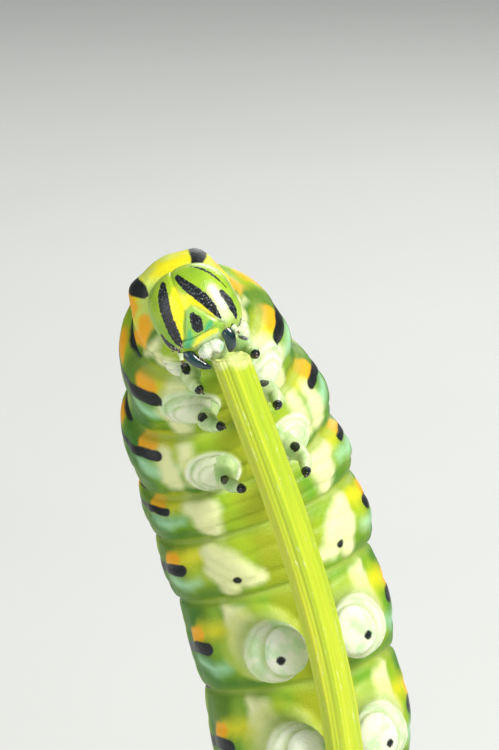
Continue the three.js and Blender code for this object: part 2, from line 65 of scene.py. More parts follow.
# Body, from the collar behind the head to the tail: name, length, pitch, lean, half width, back, belly.
# Millimetres and degrees, the same named sizes as the solids have.
SEGMENTS = [
    ("thorax_1", 2.7, 60, 14, 2.1, 2.4, 1.9),
    ("thorax_2", 3.9, 36, 13, 3.35, 3.1, 2.7),
    ("thorax_3", 3.3, 15, 16.5, 4.15, 3.75, 3.15),
    ("abdomen_1", 2.35, 5, 17.5, 4.3, 4.0, 3.45),
    ("abdomen_2", 2.95, -3, 17, 4.3, 4.05, 3.6),
    ("abdomen_3", 4.1, -6, 14, 4.1, 4.0, 3.6),
    ("abdomen_4", 4.4, -6, 9.5, 4.0, 4.0, 3.6),
    ("abdomen_5", 4.3, -2, 5, 4.0, 3.95, 3.55),
    ("abdomen_6", 4.1, 1, 1.5, 3.9, 3.85, 3.45),
    ("abdomen_7", 3.6, 2, 0, 3.7, 3.6, 3.3),
    ("abdomen_8", 3.0, -4, 0, 3.3, 3.1, 2.9),
    ("abdomen_9", 1.8, -14, 0, 2.85, 2.6, 2.4),
    ("abdomen_10", 2.8, -28, 0, 2.3, 1.9, 1.8),
]
NAMES = [segment[0] for segment in SEGMENTS]
WITH_PROLEGS = NAMES[5:9]
NO_PROLEGS = ("abdomen_2", "abdomen_7", "abdomen_8")
LENGTHS = np.array([segment[1] for segment in SEGMENTS])
SIZES = np.array([segment[4:7] for segment in SEGMENTS])
STARTS = np.concatenate([[0], np.cumsum(LENGTHS)])
ROLL = 17
FOLD_DEPTH = 0.045
FOLD_SHARPNESS = 0.6
LOBE_HEIGHT = 0.3
LOBE_ANGLE = 62
LOBE_SPREAD = 20
NECK_HALF = 1.9
STEM_TOP = np.array([-4.869, -2.5, 56.237])
NECK_PLACE = STEM_TOP + np.array([-1.8, 1.08, 1.86])
HEAD_PLACE = STEM_TOP + np.array([-1.42, 0.5, 1.92])
HEAD_PITCH, HEAD_LEAN, HEAD_ROLL, HEAD_YAW = 74, 14, 14, -8

# Rows of each segment's grid, columns round the body, and how much closer the columns stand on the belly
ROWS = (30, 38, 32, 24, 28, 46, 46, 46, 46, 26, 22, 14, 32)
COLUMNS = 226
BELLY_DENSITY = 0.45
# The collar's front edge rolls in behind the head over this share of its length
COLLAR_ROLL, COLLAR_INSET = 0.34, 0.2
# The tail reaches its own girth at the first share and is rounded off from the second, by the power, on rows that
# stand closer towards its end
TAIL_FULL_AT, TAIL_ROUND_FROM, TAIL_POWER, TAIL_CLOSER = 0.4, 0.45, 2.2, 1.5


def smoothstep(low, high, value):
    """Cubic ease from 0 at low to 1 at high: 3t^2 - 2t^3."""
    t = np.clip((value - low) / (high - low), 0, 1)
    return t * t * (3 - 2 * t)


def bump(value, centre, spread):
    """Bell curve exp(-((value - centre) / spread)^2)."""
    return np.exp(-(((value - centre) / spread) ** 2))


def unit(vectors):
    return vectors / np.linalg.norm(vectors, axis=-1, keepdims=True)


def circle(sides):
    """Angles of equal steps round a circle."""
    return np.linspace(0, 2 * math.pi, sides, endpoint=False)


def ripple(points, scale, seed, waves=7):
    """Smooth noise: mean of the sines of the points' products with seeded directions, about scale waves a mm."""
    rng = np.random.default_rng(seed)
    directions = rng.normal(size=(waves, 3)) * scale * 2 * math.pi / math.sqrt(3)
    phases = rng.uniform(0, 2 * math.pi, waves)
    return np.sin(points @ directions.T + phases).mean(axis=-1) * 1.6


def eased_table(keys, values, query, softness=0.02):
    """A curve through the keys, straight between them and then blurred by a bell of the given width."""
    fine = np.linspace(-0.2, 1.2, 561)
    raw = np.interp(fine, keys, values)
    kernel = bump(np.linspace(-4, 4, 1 + 2 * max(1, int(4 * softness / 0.0025))), 0, 1.41)
    smooth = np.convolve(np.pad(raw, len(kernel) // 2, mode="edge"), kernel / kernel.sum(), mode="valid")
    return np.interp(query, fine, smooth)


def body_turn(pitch, lean, roll):
    """Axes of a body frame in its columns: left, back, head. Pitch bends it forwards, lean tips it to -X."""
    p, t, r = (math.radians(v) for v in (pitch, lean, roll))
    head = np.array([0, -math.sin(p), math.cos(p)])
    belly = np.array([0, -math.cos(p), -math.sin(p)])
    left = np.array([1.0, 0, 0])
    turned_belly = belly * math.cos(r) + left * math.sin(r)
    turned_left = left * math.cos(r) - belly * math.sin(r)
    tip = np.array([[math.cos(t), 0, -math.sin(t)], [0, 1, 0], [math.sin(t), 0, math.cos(t)]])
    return tip @ np.stack([turned_left, -turned_belly, head], axis=1)


def yaw_turn(degrees):
    a = math.radians(degrees)
    return np.array([[math.cos(a), 0, math.sin(a)], [0, 1, 0], [-math.sin(a), 0, math.cos(a)]])


def quaternion(matrix):
    return Matrix(matrix.tolist()).to_quaternion()


HEAD_AXES = body_turn(HEAD_PITCH, HEAD_LEAN, HEAD_ROLL) @ yaw_turn(HEAD_YAW)


def along_at(name, u):
    """Distance along the body at the share u of a named segment."""
    i = NAMES.index(name)
    return STARTS[i] + u * LENGTHS[i]


def joint_frames():
    """The planes between segments: place on the axis, and a turn half way between the two neighbours' turns."""
    turns = [quaternion(body_turn(s[2], s[3], ROLL)) for s in SEGMENTS]
    place = NECK_PLACE.copy()
    frames = []
    for i, turn in enumerate(turns):
        before = quaternion(HEAD_AXES) if i == 0 else turns[i - 1]
        frames.append((place.copy(), before.slerp(turn, 0.5)))
        place += np.array(turn.to_matrix()) @ np.array([0, 0, -LENGTHS[i]])
    frames.append((place.copy(), turns[-1]))
    return frames


JOINTS = joint_frames()


def joint_size(i):
    """Half width, back and belly at a fold: the neighbours' mean, less the fold's depth."""
    if i == 0:
        return SIZES[0] * NECK_HALF / SIZES[0][0]
    return (SIZES[i - 1] + SIZES[min(i, len(SIZES) - 1)]) * (1 - FOLD_DEPTH) / 2


def girth_at(along):
    """Half width by which angles are measured out round the body, eased between the segments' middles."""
    return np.interp(along, STARTS[:-1] + LENGTHS / 2, SIZES[:, 0])


def frame_in(i, u):
    """Place and axes at the share u of segment i."""
    (front, front_turn), (rear, rear_turn) = JOINTS[i], JOINTS[i + 1]
    return front * (1 - u) + rear * u, np.array(front_turn.slerp(rear_turn, float(u)).to_matrix())


class Trunk:
    """The body's tube on a grid of rows along it and columns round it, with the places of its marks."""

    def __init__(self):
        last = len(SEGMENTS) - 1
        rows = [(i, v / ROWS[i]) for i in range(last) for v in range(ROWS[i])]
        tail = 1 - (1 - np.linspace(0, 1, ROWS[last])[:-1]) ** TAIL_CLOSER
        rows += [(last, v) for v in tail]
        self.segment = np.array([r[0] for r in rows])
        self.u = np.array([r[1] for r in rows])
        frames = [frame_in(i, v) for i, v in rows]
        self.place = np.array([f[0] for f in frames])
        self.axes = np.array([f[1] for f in frames])
        self.along = STARTS[self.segment] + self.u * LENGTHS[self.segment]
        c = np.linspace(-1, 1, COLUMNS, endpoint=False)
        self.phi = 180 * (c * (1 - BELLY_DENSITY) + BELLY_DENSITY * c**3)
        self.size = self.row_sizes()
        self.points = self.surface(self.phi[None, :])
        self.base = self.points.copy()

    def row_sizes(self):
        """Half width, back and belly of each row: the fold's sizes at both ends, the segment's own between,
        mixed by sin(pi u) to a power, and the last segment closed by a round end."""
        front = np.array([joint_size(i) for i in self.segment])
        rear = np.array([joint_size(i + 1) for i in self.segment])
        self.swell = np.sin(math.pi * self.u) ** FOLD_SHARPNESS
        u, swell = self.u[:, None], self.swell[:, None]
        size = (front * (1 - u) + rear * u) * (1 - swell) + SIZES[self.segment] * swell
        full = np.minimum(1, u / TAIL_FULL_AT)
        own = front * (1 - full) + SIZES[self.segment] * full
        past = np.clip(u - TAIL_ROUND_FROM, 0, 1) / (1 - TAIL_ROUND_FROM)
        close = np.sqrt(np.clip(1 - past**TAIL_POWER, 0, 1))
        roll = 1 - COLLAR_INSET * np.clip(1 - u / COLLAR_ROLL, 0, 1) ** 2 * self.only(0)
        return np.where(self.only(len(SEGMENTS) - 1), own * close, size * roll)

    def only(self, first, last=None):
        """True on the rows of one segment, or of those from first to last."""
        return ((self.segment >= first) & (self.segment <= (first if last is None else last)))[:, None]

    def surface(self, phi):
        """Point of the plain tube: axis + left * half * sin(phi) + belly * height * cos(phi),
        phi from the belly's middle line to the animal's left, with a low lobe on each flank."""
        a = np.radians(phi)
        half, back, belly = (self.size[:, k][:, None] for k in range(3))
        lobe = LOBE_HEIGHT * self.swell[:, None] ** 2 * bump(np.abs(phi), LOBE_ANGLE, LOBE_SPREAD)
        lobe = lobe * self.only(1, len(SEGMENTS) - 2)
        height = np.where(np.cos(a) > 0, belly, back)
        left = self.axes[:, None, :, 0] * ((half + lobe) * np.sin(a))[..., None]
        down = -self.axes[:, None, :, 1] * ((height + lobe) * np.cos(a))[..., None]
        return self.place[:, None, :] + left + down

    def normals(self):
        """Unit cross product of the grid's two tangents, pointing out."""
        wrapped = np.concatenate([self.points[:, -1:], self.points, self.points[:, :1]], axis=1)
        around = wrapped[:, 2:] - wrapped[:, :-2]
        along = np.gradient(self.points, axis=0)
        normal = np.cross(around, along)
        normal /= np.maximum(np.linalg.norm(normal, axis=-1, keepdims=True), 1e-9)
        outward = self.points - self.place[:, None, :]
        sign = np.sign((normal * outward).sum(axis=-1).mean())
        return normal * sign

    def around(self):
        """Distance in mm round the body from the belly's middle line, on a circle of the half width."""
        return np.radians(self.phi)[None, :] * girth_at(self.along)[:, None]

    def at(self, name, u, phi):
        """A named place as (distance along, distance around)."""
        along = along_at(name, u)
        return along, math.radians(phi) * float(girth_at(along))

    def nearest(self, name, u, phi):
        """Row and column of the grid point nearest to a named place."""
        return np.argmin(np.abs(self.along - along_at(name, u))), np.argmin(np.abs(self.phi - phi))


# True legs: segment, the leg's root and the middle of the soft rings round it as (share along, angle),
# and the claws' tips from the stem's top
LEGS = {
    "t1": ("thorax_1", (0.66, 27), (0.74, 36), (0.98, 0.2, 0.12), (-1.16, 0.25, -1.33)),
    "t2": ("thorax_2", (0.52, 21), (0.46, 28), (1.8, 0.2, -1.95), (-0.3, 0.25, -2.74)),
    "t3": ("thorax_3", (0.6, 19), (0.64, 24), (2.92, 0.4, -4.75), (0.52, 0.35, -5.33)),
}
# Middles of the legs' black plates from the stem's top, left then right
LEG_PLATES = {
    "t1": ((0.47, 1.43, 0.55), (-1.77, 1.04, -0.63)),
    "t2": ((1.28, 2.17, -1.53), (-1.15, 1.41, -2.7)),
    "t3": ((2.49, 2.41, -4.19), (-0.27, 1.43, -5.26)),
}
RING_RADIUS = {"t1": 0.85, "t2": 1.25, "t3": 1.2}
RING_HEIGHT = 0.36

# Prolegs: angle and share along of the root patch's middle, its half sizes along and around, then the cone's root
# (out, down) and tip (out, down, tailwards) in the segment's frame, and its half sizes across and along
PROLEG = {
    "phi": 28, "u": 0.5, "along": 1.8, "around": 1.95,
    "root": (2.2, 1.6), "tip": (1.48, 5.3, 0.28), "half": 1.1, "long": 1.25,
}
TAIL_PROLEG = {
    "phi": 36, "u": 0.48, "along": 1.2, "around": 1.3,
    "root": (1.25, 0.3), "tip": (1.4, 3.9, 0.0), "half": 0.9, "long": 1.1,
}
# From the proleg's rim (0) to its foot (1): how far along its axis, its girth with two folds, and the folds' depth
PROLEG_REACH = ([0, 0.12, 0.26, 0.4, 0.52, 0.6, 0.72, 0.86, 1],
                [0.40, 0.48, 0.60, 0.73, 0.81, 0.86, 0.945, 0.99, 1.0])
PROLEG_GIRTH = ([0, 0.12, 0.26, 0.35, 0.44, 0.55, 0.66, 0.76, 0.87, 1],
                [1.38, 1.2, 1.06, 1.03, 0.98, 0.84, 0.78, 0.68, 0.42, 0])
PROLEG_DENTS = [0, 0.2, 0.26, 0.33, 0.49, 0.55, 0.61, 1], [0, 0, 1, 0, 0, 1, 0, 0]
# Painted shade on the proleg's folds, from its rim (0) to its foot (1)
PROLEG_CREASE_SHADE = ([0, 0.18, 0.26, 0.34, 0.38, 0.42, 0.46, 0.5, 0.55, 0.62, 1],
                  [0, 0, 1, 0.1, 0.1, 0.7, 0.1, 0.1, 1, 0, 0])
PROLEG_BLEND = 0.34


def grow_proleg(trunk, name, side, spec):
    """Draws the skin out into a proleg. Inside an ellipse round its root, at share rho of the radius and angle
    psi, a point moves to centre(q) + half * girth(q) * cos(psi) * left + long * girth(q) * sin(psi) * tailwards,
    with q = 1 - rho, eased into the plain tube over the outer third. Gives back q, 0 off the proleg."""
    i = NAMES.index(name)
    place, axes = frame_in(i, 0.5)
    left, belly, head = axes[:, 0], -axes[:, 1], axes[:, 2]
    x = np.radians(trunk.phi - spec["phi"] * side)[None, :] * SIZES[i][0]
    y = (trunk.along - along_at(name, spec["u"]))[:, None]
    x, y = np.broadcast_arrays(x / spec["around"], y / spec["along"])
    rho = np.hypot(x, y)
    q = np.clip(1 - rho, 0, 1)
    reach = eased_table(*PROLEG_REACH, q)
    girth = eased_table(*PROLEG_GIRTH, q, 0.01) * (1 - bump(q, 1, 0.001))
    (out, down), (tip_out, tip_down, tip_back) = spec["root"], spec["tip"]
    root = place + left * out * side + belly * down
    tip = place + left * tip_out * side + belly * tip_down - head * tip_back
    centre = root + reach[..., None] * (tip - root)
    cos, sin = x / np.maximum(rho, 1e-6), y / np.maximum(rho, 1e-6)
    bend = smoothstep(0.3, 0.62, q) * 0.3 - smoothstep(0.1, 0.3, q) * 0.14
    centre -= (left * side * 0.8 - head * 0.35) * bend[..., None]
    around = np.arctan2(sin, cos * side)
    girth -= 0.1 * eased_table(*PROLEG_DENTS, q, 0.01) * (0.5 + 0.5 * np.cos(around + 0.5))
    girth += 0.014 * np.sin(around * 13 + q * 9) * bump(q, 0.2, 0.12)
    girth += 0.02 * np.sin(around * 3 + q * 20) * q * (1 - q) * 4
    across, tailwards = spec["half"] * girth * cos, spec["long"] * girth * sin
    ring = centre + left * across[..., None] - head * tailwards[..., None]
    blend = smoothstep(0, PROLEG_BLEND, q)[..., None]
    trunk.points = np.where((rho < 1)[..., None], trunk.points * (1 - blend) + ring * blend, trunk.points)
    return q


def shape_distance(s, a, strokes):
    """Signed distance in mm to the union of rounded strokes. A stroke is a list of (along, around, radius);
    between two of its points the distance is that to the line, less the radius, which changes evenly."""
    best = np.full(np.broadcast(s, a).shape, FAR)
    for stroke in strokes:
        ends = stroke if len(stroke) > 1 else stroke * 2
        for (s0, a0, r0), (s1, a1, r1) in zip(ends[:-1], ends[1:]):
            ds, da = s1 - s0, a1 - a0
            t = np.clip(((s - s0) * ds + (a - a0) * da) / max(ds * ds + da * da, 1e-9), 0, 1)
            best = np.minimum(best, np.hypot(s - s0 - t * ds, a - a0 - t * da) - (r0 + t * (r1 - r0)))
    return best


# For each segment, the black bar's place, the orange spots' place, the bar's half width and the angle it ends at
BARS = {
    "thorax_2": (0.25, 0.1, 0.36, 55),
    "thorax_3": (0.21, 0.06, 0.22, 55),
    "abdomen_1": (0.22, 0.08, 0.17, 60),
    "abdomen_2": (0.40, 0.24, 0.28, 62),
    "abdomen_3": (0.48, 0.32, 0.31, 62),
    "abdomen_4": (0.5, 0.35, 0.32, 63),
    "abdomen_5": (0.5, 0.35, 0.32, 63),
    "abdomen_6": (0.5, 0.35, 0.32, 63),
    "abdomen_7": (0.5, 0.34, 0.3, 63),
    "abdomen_8": (0.5, 0.33, 0.27, 63),
    "abdomen_9": (0.5, 0.28, 0.2, 63),
}
SPOTS_FROM_END = (8, 52, 90)
BOTH, LEFT, RIGHT = (1, -1), (1,), (-1,)

# Patches of the collar and the belly: colour, sides, segments, then the stroke's (share along, angle, radius)
PATCHES = [
    ("black", LEFT, ["thorax_1"], (0.0, 132, 0.24), (0.24, 138, 0.36), (0.42, 142, 0.26)),
    ("black", RIGHT, ["thorax_1"], (0.0, 132, 0.24), (0.12, 138, 0.36), (0.2, 142, 0.26)),
    ("black", RIGHT, ["thorax_1"], (0.97, 84, 0.05), (0.97, 100, 0.13), (0.97, 126, 0.05)),
    ("orange", BOTH, ["thorax_1"], (0.34, 124, 0.2), (0.24, 114, 0.22)),
    ("orange", BOTH, ["thorax_1"], (0.1, 88, 0.2), (0.5, 94, 0.38), (0.86, 104, 0.3)),
    ("orange", RIGHT, ["thorax_1"], (0.5, 137, 0.16), (0.24, 126, 0.26), (0.14, 117, 0.18)),
    ("orange", RIGHT, ["thorax_1"], (0.04, 100, 0.24), (0.12, 88, 0.34), (0.4, 84, 0.3)),
    ("pale", BOTH, ["thorax_1"], (0.1, 66, 0.22), (0.6, 72, 0.12), (0.86, 82, 0.1)),
    ("pale", BOTH, ["thorax_1"], (0.3, 46, 0.2), (0.7, 50, 0.32), (0.9, 36, 0.3)),
    ("pale", BOTH, ["thorax_1"], (0.3, 60, 0.26), (0.75, 57, 0.36)),
    ("pale", BOTH, ["thorax_2"], (0.06, 37, 0.4), (0.5, 41, 0.62), (0.92, 38, 0.4)),
    ("pale", BOTH, ["thorax_3"], (0.2, 50, 0.34), (0.68, 49, 0.46)),
    ("pale", BOTH, ["thorax_3"], (0.12, 37, 0.34), (0.7, 36, 0.44)),
    ("pale", BOTH, ["abdomen_1"], (0.12, 44, 0.42), (0.3, 36, 0.7), (0.62, 36, 0.55), (0.9, 34, 0.3)),
    ("pale", BOTH, NO_PROLEGS, (0.16, 42, 0.42), (0.42, 36, 0.78), (0.7, 25, 0.5), (0.74, 19, 0.3)),
    ("pale", BOTH, NO_PROLEGS, (0.42, 38, 0.7), (0.8, 36, 0.42)),
    ("black", BOTH, NO_PROLEGS, (0.7, 31, 0.19)),
    ("pale", BOTH, WITH_PROLEGS, (0.06, 46, 0.2), (0.2, 40, 0.55), (0.42, 36, 0.95), (0.62, 30, 1.1)),
    ("black", BOTH, NAMES[2:12], (0.0, 92, 0.06), (0.0, 104, 0.13), (0.0, 130, 0.07), (0.0, 180, 0.09)),
]


def mark_strokes(trunk):
    """Each colour's strokes, carried from their named places to (distance along, distance around, radius)."""
    marks = {"black": [], "orange": [], "yellow": [], "pale": [], "mint": []}

    def add(colour, sides, name, *places):
        for side in sides:
            marks[colour].append([(*trunk.at(name, u, phi * side), r) for u, phi, r in places])

    for name, (bar, spot, width, end) in BARS.items():
        thin, size = width * 0.7, 1.5 if name.startswith("thorax") else 1
        middle = (bar + 0.03, end + 30, thin)
        add("black", BOTH, name, (bar, end, width), (bar - 0.02, end + 10, width * 0.85), middle)
        add("black", BOTH, name, middle, (bar, 132, width), (bar + 0.02, 165, thin), (bar, 180, thin))
        for shift in SPOTS_FROM_END:
            add("orange", BOTH, name, (spot, end + shift - 3, 0.3), (spot + 0.02, end + shift + 4, 0.36))
        add("yellow", BOTH, name, (spot - 0.02, end + 2, 0.4), (spot - 0.04, 47, 0.3))
        add("mint", BOTH, name, (bar + 0.13, end + 12, 0.16 * size), (bar + 0.24, end, 0.25 * size),
            (bar + 0.22, end - 8, 0.16 * size))
    for colour, sides, names, *places in PATCHES:
        for name in names:
            add(colour, sides, name, *places)
    return marks


def tube_faces(rows, columns):
    """Corner numbers of a closed tube's quads, row by row, and of the fans to the two end points after them."""
    r, c = np.arange(rows - 1)[:, None], np.arange(columns)
    d = (c + 1) % columns
    fours = np.stack([r * columns + c, r * columns + d, (r + 1) * columns + d, (r + 1) * columns + c], -1)
    first, last = rows * columns, (rows - 1) * columns
    top = np.stack([np.full(columns, first), d, c], -1)
    bottom = np.stack([np.full(columns, first + 1), last + c, last + d], -1)
    return fours.reshape(-1, 4), np.concatenate([top, bottom])


def enclosed_volume(verts, fours, threes):
    """Signed volume by the sum of the tetrahedra from the first vertex."""
    p = verts - verts[0]
    tri = np.concatenate([threes, fours[:, [0, 1, 2]], fours[:, [0, 2, 3]]])
    return np.einsum("ij,ij->i", p[tri[:, 0]], np.cross(p[tri[:, 1]], p[tri[:, 2]])).sum() / 6


def make_piece(name, tubes, material, replaced, slot, attributes=None, ends=None):
    """One object of closed tubes, each a grid of rings in mm, turned to face outwards. A tube is closed at the
    mean points of its end rings, where an attribute takes the values in ends, or else the end rings' means."""
    verts, faces, shift = [], [], 0
    for tube in tubes:
        v = np.concatenate([tube.reshape(-1, 3), tube[:1].mean(axis=1), tube[-1:].mean(axis=1)])
        fours, threes = tube_faces(*tube.shape[:2])
        if enclosed_volume(v, fours, threes) < 0:
            fours, threes = fours[:, ::-1], threes[:, ::-1]
        verts.append(v)
        faces += [fours + shift, threes + shift]
        shift += len(v)
    verts = np.concatenate(verts) * MM
    loops = np.concatenate([f.ravel() for f in faces])
    totals = np.concatenate([np.full(len(f), f.shape[1]) for f in faces])
    mesh = bpy.data.meshes.new(name)
    mesh.vertices.add(len(verts))
    mesh.vertices.foreach_set("co", verts.astype(np.float32).ravel())
    mesh.loops.add(len(loops))
    mesh.loops.foreach_set("vertex_index", loops.astype(np.int32))
    mesh.polygons.add(len(totals))
    mesh.polygons.foreach_set("loop_start", np.concatenate([[0], np.cumsum(totals)[:-1]]).astype(np.int32))
    mesh.update(calc_edges=True)
    mesh.validate()
    mesh.polygons.foreach_set("use_smooth", np.ones(len(mesh.polygons), dtype=bool))
    for key, grid in (attributes or {}).items():
        values = np.concatenate([grid.ravel(), ends or [grid[0].mean(), grid[-1].mean()]])
        mesh.attributes.new(key, "FLOAT", "POINT").data.foreach_set("value", values.astype(np.float32))
    mesh.materials.append(material)
    piece = bpy.data.objects.new(name, mesh)
    bpy.context.scene.collection.objects.link(piece)
    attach(piece, "root")
    if replaced:
        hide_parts(*replaced)


# Materials


class Nodes:
    """Short words for building a node tree. A socket is set to a number or colour, or linked to an output."""

    def __init__(self, tree):
        self.tree = tree

    def add(self, kind, **settings):
        node = self.tree.nodes.new(kind)
        for key, value in settings.items():
            setattr(node, key, value)
        return node

    def link(self, source, target):
        if hasattr(source, "is_output"):
            self.tree.links.new(source, target)
        else:
            target.default_value = (*source, 1) if isinstance(source, tuple) else source

    def fill(self, node, *sources):
        """Links or sets the node's first inputs, and gives back its first output."""
        for source, target in zip(sources, node.inputs):
            self.link(source, target)
        return node.outputs[0]

    def math(self, operation, a, b):
        return self.fill(self.add("ShaderNodeMath", operation=operation), a, b)

    def times(self, a, b):
        return self.math("MULTIPLY", a, b)

    def mix(self, factor, a, b):
        node = self.add("ShaderNodeMix", data_type="RGBA")
        for source, k in ((factor, 0), (a, 6), (b, 7)):
            self.link(source, node.inputs[k])
        return node.outputs[2]

    def paint(self, colour, *layers):
        """Lays colours one over another: each layer is (mask, strength, colour)."""
        for mask, strength, top in layers:
            colour = self.mix(mask if strength == 1 else self.times(mask, strength), colour, top)
        return colour

    def ease(self, value, low, high, to_low=0.0, to_high=1.0):
        node = self.add("ShaderNodeMapRange", interpolation_type="SMOOTHSTEP")
        return self.fill(node, value, low, high, to_low, to_high)

    def place(self, scale=(1, 1, 1)):
        """Object coordinates, stretched."""
        mapping = self.add("ShaderNodeMapping")
        mapping.inputs["Scale"].default_value = scale
        return self.fill(mapping, self.add("ShaderNodeTexCoord").outputs["Object"])

    def rolled(self, scale, along_scale):
        """Place on a stem as (cosine, sine, distance along), so that streaks follow its lean."""
        sizes = {"round_x": scale, "round_y": scale, "along": along_scale}
        parts = [self.times(self.attribute(name), size) for name, size in sizes.items()]
        return self.fill(self.add("ShaderNodeCombineXYZ"), *parts)

    def noise(self, vector, scale, detail=2.0, rough=0.5):
        node = self.add("ShaderNodeTexNoise")
        for source, key in ((vector, "Vector"), (scale, "Scale"), (detail, "Detail"), (rough, "Roughness")):
            self.link(source, node.inputs[key])
        return node.outputs[0]

    def clouds(self, vector, scale, low, high, detail=2.0, rough=0.5):
        """Noise eased to 0 below low and to 1 above high."""
        return self.ease(self.noise(vector, scale, detail, rough), low, high)

    def grains(self, vector, scale, low, high):
        """Round cells, 1 in their middles."""
        node = self.add("ShaderNodeTexVoronoi")
        self.link(vector, node.inputs["Vector"])
        self.link(scale, node.inputs["Scale"])
        return self.ease(node.outputs[0], low, high, 1.0, 0.0)

    def attribute(self, name):
        return self.add("ShaderNodeAttribute", attribute_name=name).outputs["Fac"]

    def group(self, group, *values):
        return self.fill(self.add("ShaderNodeGroup", node_tree=group), *values)

    def mark(self, name, softness, wander, grain):
        """The wavy mark group on an attribute that holds a distance."""
        return self.group(WAVY_MARK, self.attribute(name), softness, wander, grain)


def new_group(name, inputs, output):
    """A node group of number sockets, with its inputs' first values."""
    tree = bpy.data.node_groups.new(name, "ShaderNodeTree")
    for key, value in inputs.items():
        tree.interface.new_socket(key, in_out="INPUT", socket_type="NodeSocketFloat").default_value = value
    tree.interface.new_socket(output, in_out="OUTPUT", socket_type="NodeSocketFloat")
    nodes = Nodes(tree)
    return nodes, nodes.add("NodeGroupInput").outputs, nodes.add("NodeGroupOutput").inputs[0]


def wavy_mark_group():
    """Mask of a mark from its distance in mm, with an edge that wanders by a noise and softens over a width."""
    inputs = {"Distance": 0.0, "Softness": 0.03, "Wander": 0.05, "Grain": 5000.0}
    nodes, given, out = new_group("wavy mark", inputs, "Mask")
    shift = nodes.math("SUBTRACT", nodes.noise(nodes.place(), given["Grain"]), 0.5)
    moved = nodes.math("ADD", given["Distance"], nodes.times(shift, given["Wander"]))
    nodes.link(nodes.ease(moved, given["Softness"], nodes.times(given["Softness"], -1.0)), out)
    return nodes.tree


def skin_grain_group():
    """Height of fine skin: small rounded pimples over softer wrinkles, both on object coordinates."""
    nodes, given, out = new_group("skin grain", {"Pimples": 1.0, "Wrinkles": 1.0}, "Height")
    place = nodes.place()
    pimples = nodes.times(nodes.grains(place, 14000.0, 0.0, 0.7), given["Pimples"])
    wrinkles = nodes.times(nodes.noise(place, 3500.0, 3.0, 0.6), given["Wrinkles"])
    nodes.link(nodes.math("ADD", pimples, wrinkles), out)
    return nodes.tree


WAVY_MARK = wavy_mark_group()
SKIN_GRAIN = skin_grain_group()


def new_material(name):
    """The nodes of a new material, which finish_material gives back."""
    material = bpy.data.materials.new(name)
    material.use_nodes = True
    nodes = Nodes(material.node_tree)
    nodes.material = material
    return nodes


def finish_material(nodes, colour, roughness, bump=None, flesh=None, coat=None, specular=0.5, metallic=0.0):
    """Sets the shader and gives back the material. The bump is (height, strength, metres), the coat (weight,
    roughness), and flesh (share of the light that scatters under the skin, mm it reaches)."""
    shader = nodes.tree.nodes["Principled BSDF"]
    values = {"Base Color": colour, "Roughness": roughness, "Specular IOR Level": specular, "Metallic": metallic}
    if bump:
        node = nodes.add("ShaderNodeBump")
        for source, key in zip(bump, ("Height", "Strength", "Distance")):
            nodes.link(source, node.inputs[key])
        values["Normal"] = node.outputs[0]
    if flesh:
        shader.inputs["Subsurface Radius"].default_value = SCATTER_RADIUS
        values |= {"Subsurface Weight": flesh[0], "Subsurface Scale": flesh[1] * MM}
    if coat:
        values |= {"Coat Weight": coat[0], "Coat Roughness": coat[1]}
    for key, value in values.items():
        nodes.link(value, shader.inputs[key])
    return nodes.material


# The flanks' deep green is partly the skin's own colour and partly painted shade.
GREEN, FLANK_GREEN_AND_SHADE, LIME = (0.15, 0.36, 0.012), (0.010, 0.12, 0.008), (0.38, 0.52, 0.012)
# The crease colour is painted shade, laid into folds, creases and pleats.
OLIVE, CREASE_SHADE, CREAM = (0.32, 0.37, 0.012), (0.34, 0.46, 0.06), (0.78, 0.81, 0.42)
WHITE, MINT, PALE_MINT = (0.84, 0.87, 0.70), (0.42, 0.75, 0.46), (0.58, 0.78, 0.46)
YELLOW, SKIRT_LIME, PALE_LIME = (0.80, 0.72, 0.01), (0.64, 0.72, 0.10), (0.60, 0.74, 0.16)
ORANGE, BLACK = (0.88, 0.42, 0.004), (0.006, 0.010, 0.010)
SCATTER_RADIUS = (1.0, 0.9, 0.35)
COAT_ROUGHNESS = 0.03


def skin_material():
    """Green skin: darker flanks that are partly painted shade, an olive belly, the marks over them,
    painted shade in the creases, and whitish hips and prolegs.
    """
    nodes = new_material("larva skin")
    place, attribute = nodes.place(), nodes.attribute
    mark = lambda name, softness, wander: nodes.mark(name, softness, wander, 1500.0)
    white = nodes.mix(nodes.clouds(place, 1300.0, 0.44, 0.68), WHITE, PALE_MINT)
    faded = nodes.mix(nodes.clouds(place, 700.0, 0.4, 0.62), YELLOW, PALE_LIME)
    black = mark("black", 0.05, 0.16)
    colour = nodes.paint(
        GREEN, (nodes.clouds(place, 420.0, 0.35, 0.65), 1, LIME),
        # painted shade, in part: the flank layer's deep green darkens the sides and each segment's rear
        (attribute("flank_and_shade"), 0.72, FLANK_GREEN_AND_SHADE), (attribute("belly"), 0.9, OLIVE),
        (mark("yellow", 0.42, 0.6), 0.75, YELLOW), (mark("mint", 0.4, 0.5), 0.8, MINT),
        (mark("pale", 0.26, 0.35), 1, CREAM), (attribute("skirt"), 0.35, SKIRT_LIME),
        (attribute("white"), 1, white), (attribute("collar"), 0.9, faded),
        # the crease layer is painted shade in the folds
        (mark("orange", 0.15, 0.22), 1, ORANGE), (attribute("crease_shade"), 0.75, CREASE_SHADE), (black, 1, BLACK))
    return finish_material(nodes, colour, nodes.math("SUBTRACT", 0.46, nodes.times(black, 0.12)),
                           (nodes.group(SKIN_GRAIN, 0.5, 1.0), 0.35, 0.00006), (0.22, 0.45), specular=0.35)


def smooth_material(name, colour, tint, roughness, coat=0.0, flesh=None, grain=0.2):
    """A plain surface with a slow change of tint and a fine grain."""
    nodes = new_material(name)
    shade = nodes.clouds(nodes.place(), 1800.0, 0.3, 0.7, 3.0)
    worn = nodes.ease(shade, 0.0, 1.0, roughness, roughness + 0.12)
    return finish_material(nodes, nodes.mix(shade, colour, tint), worn,
                           (nodes.group(SKIN_GRAIN, 0.6, 0.5), grain, 0.00004), flesh, (coat, COAT_ROUGHNESS))


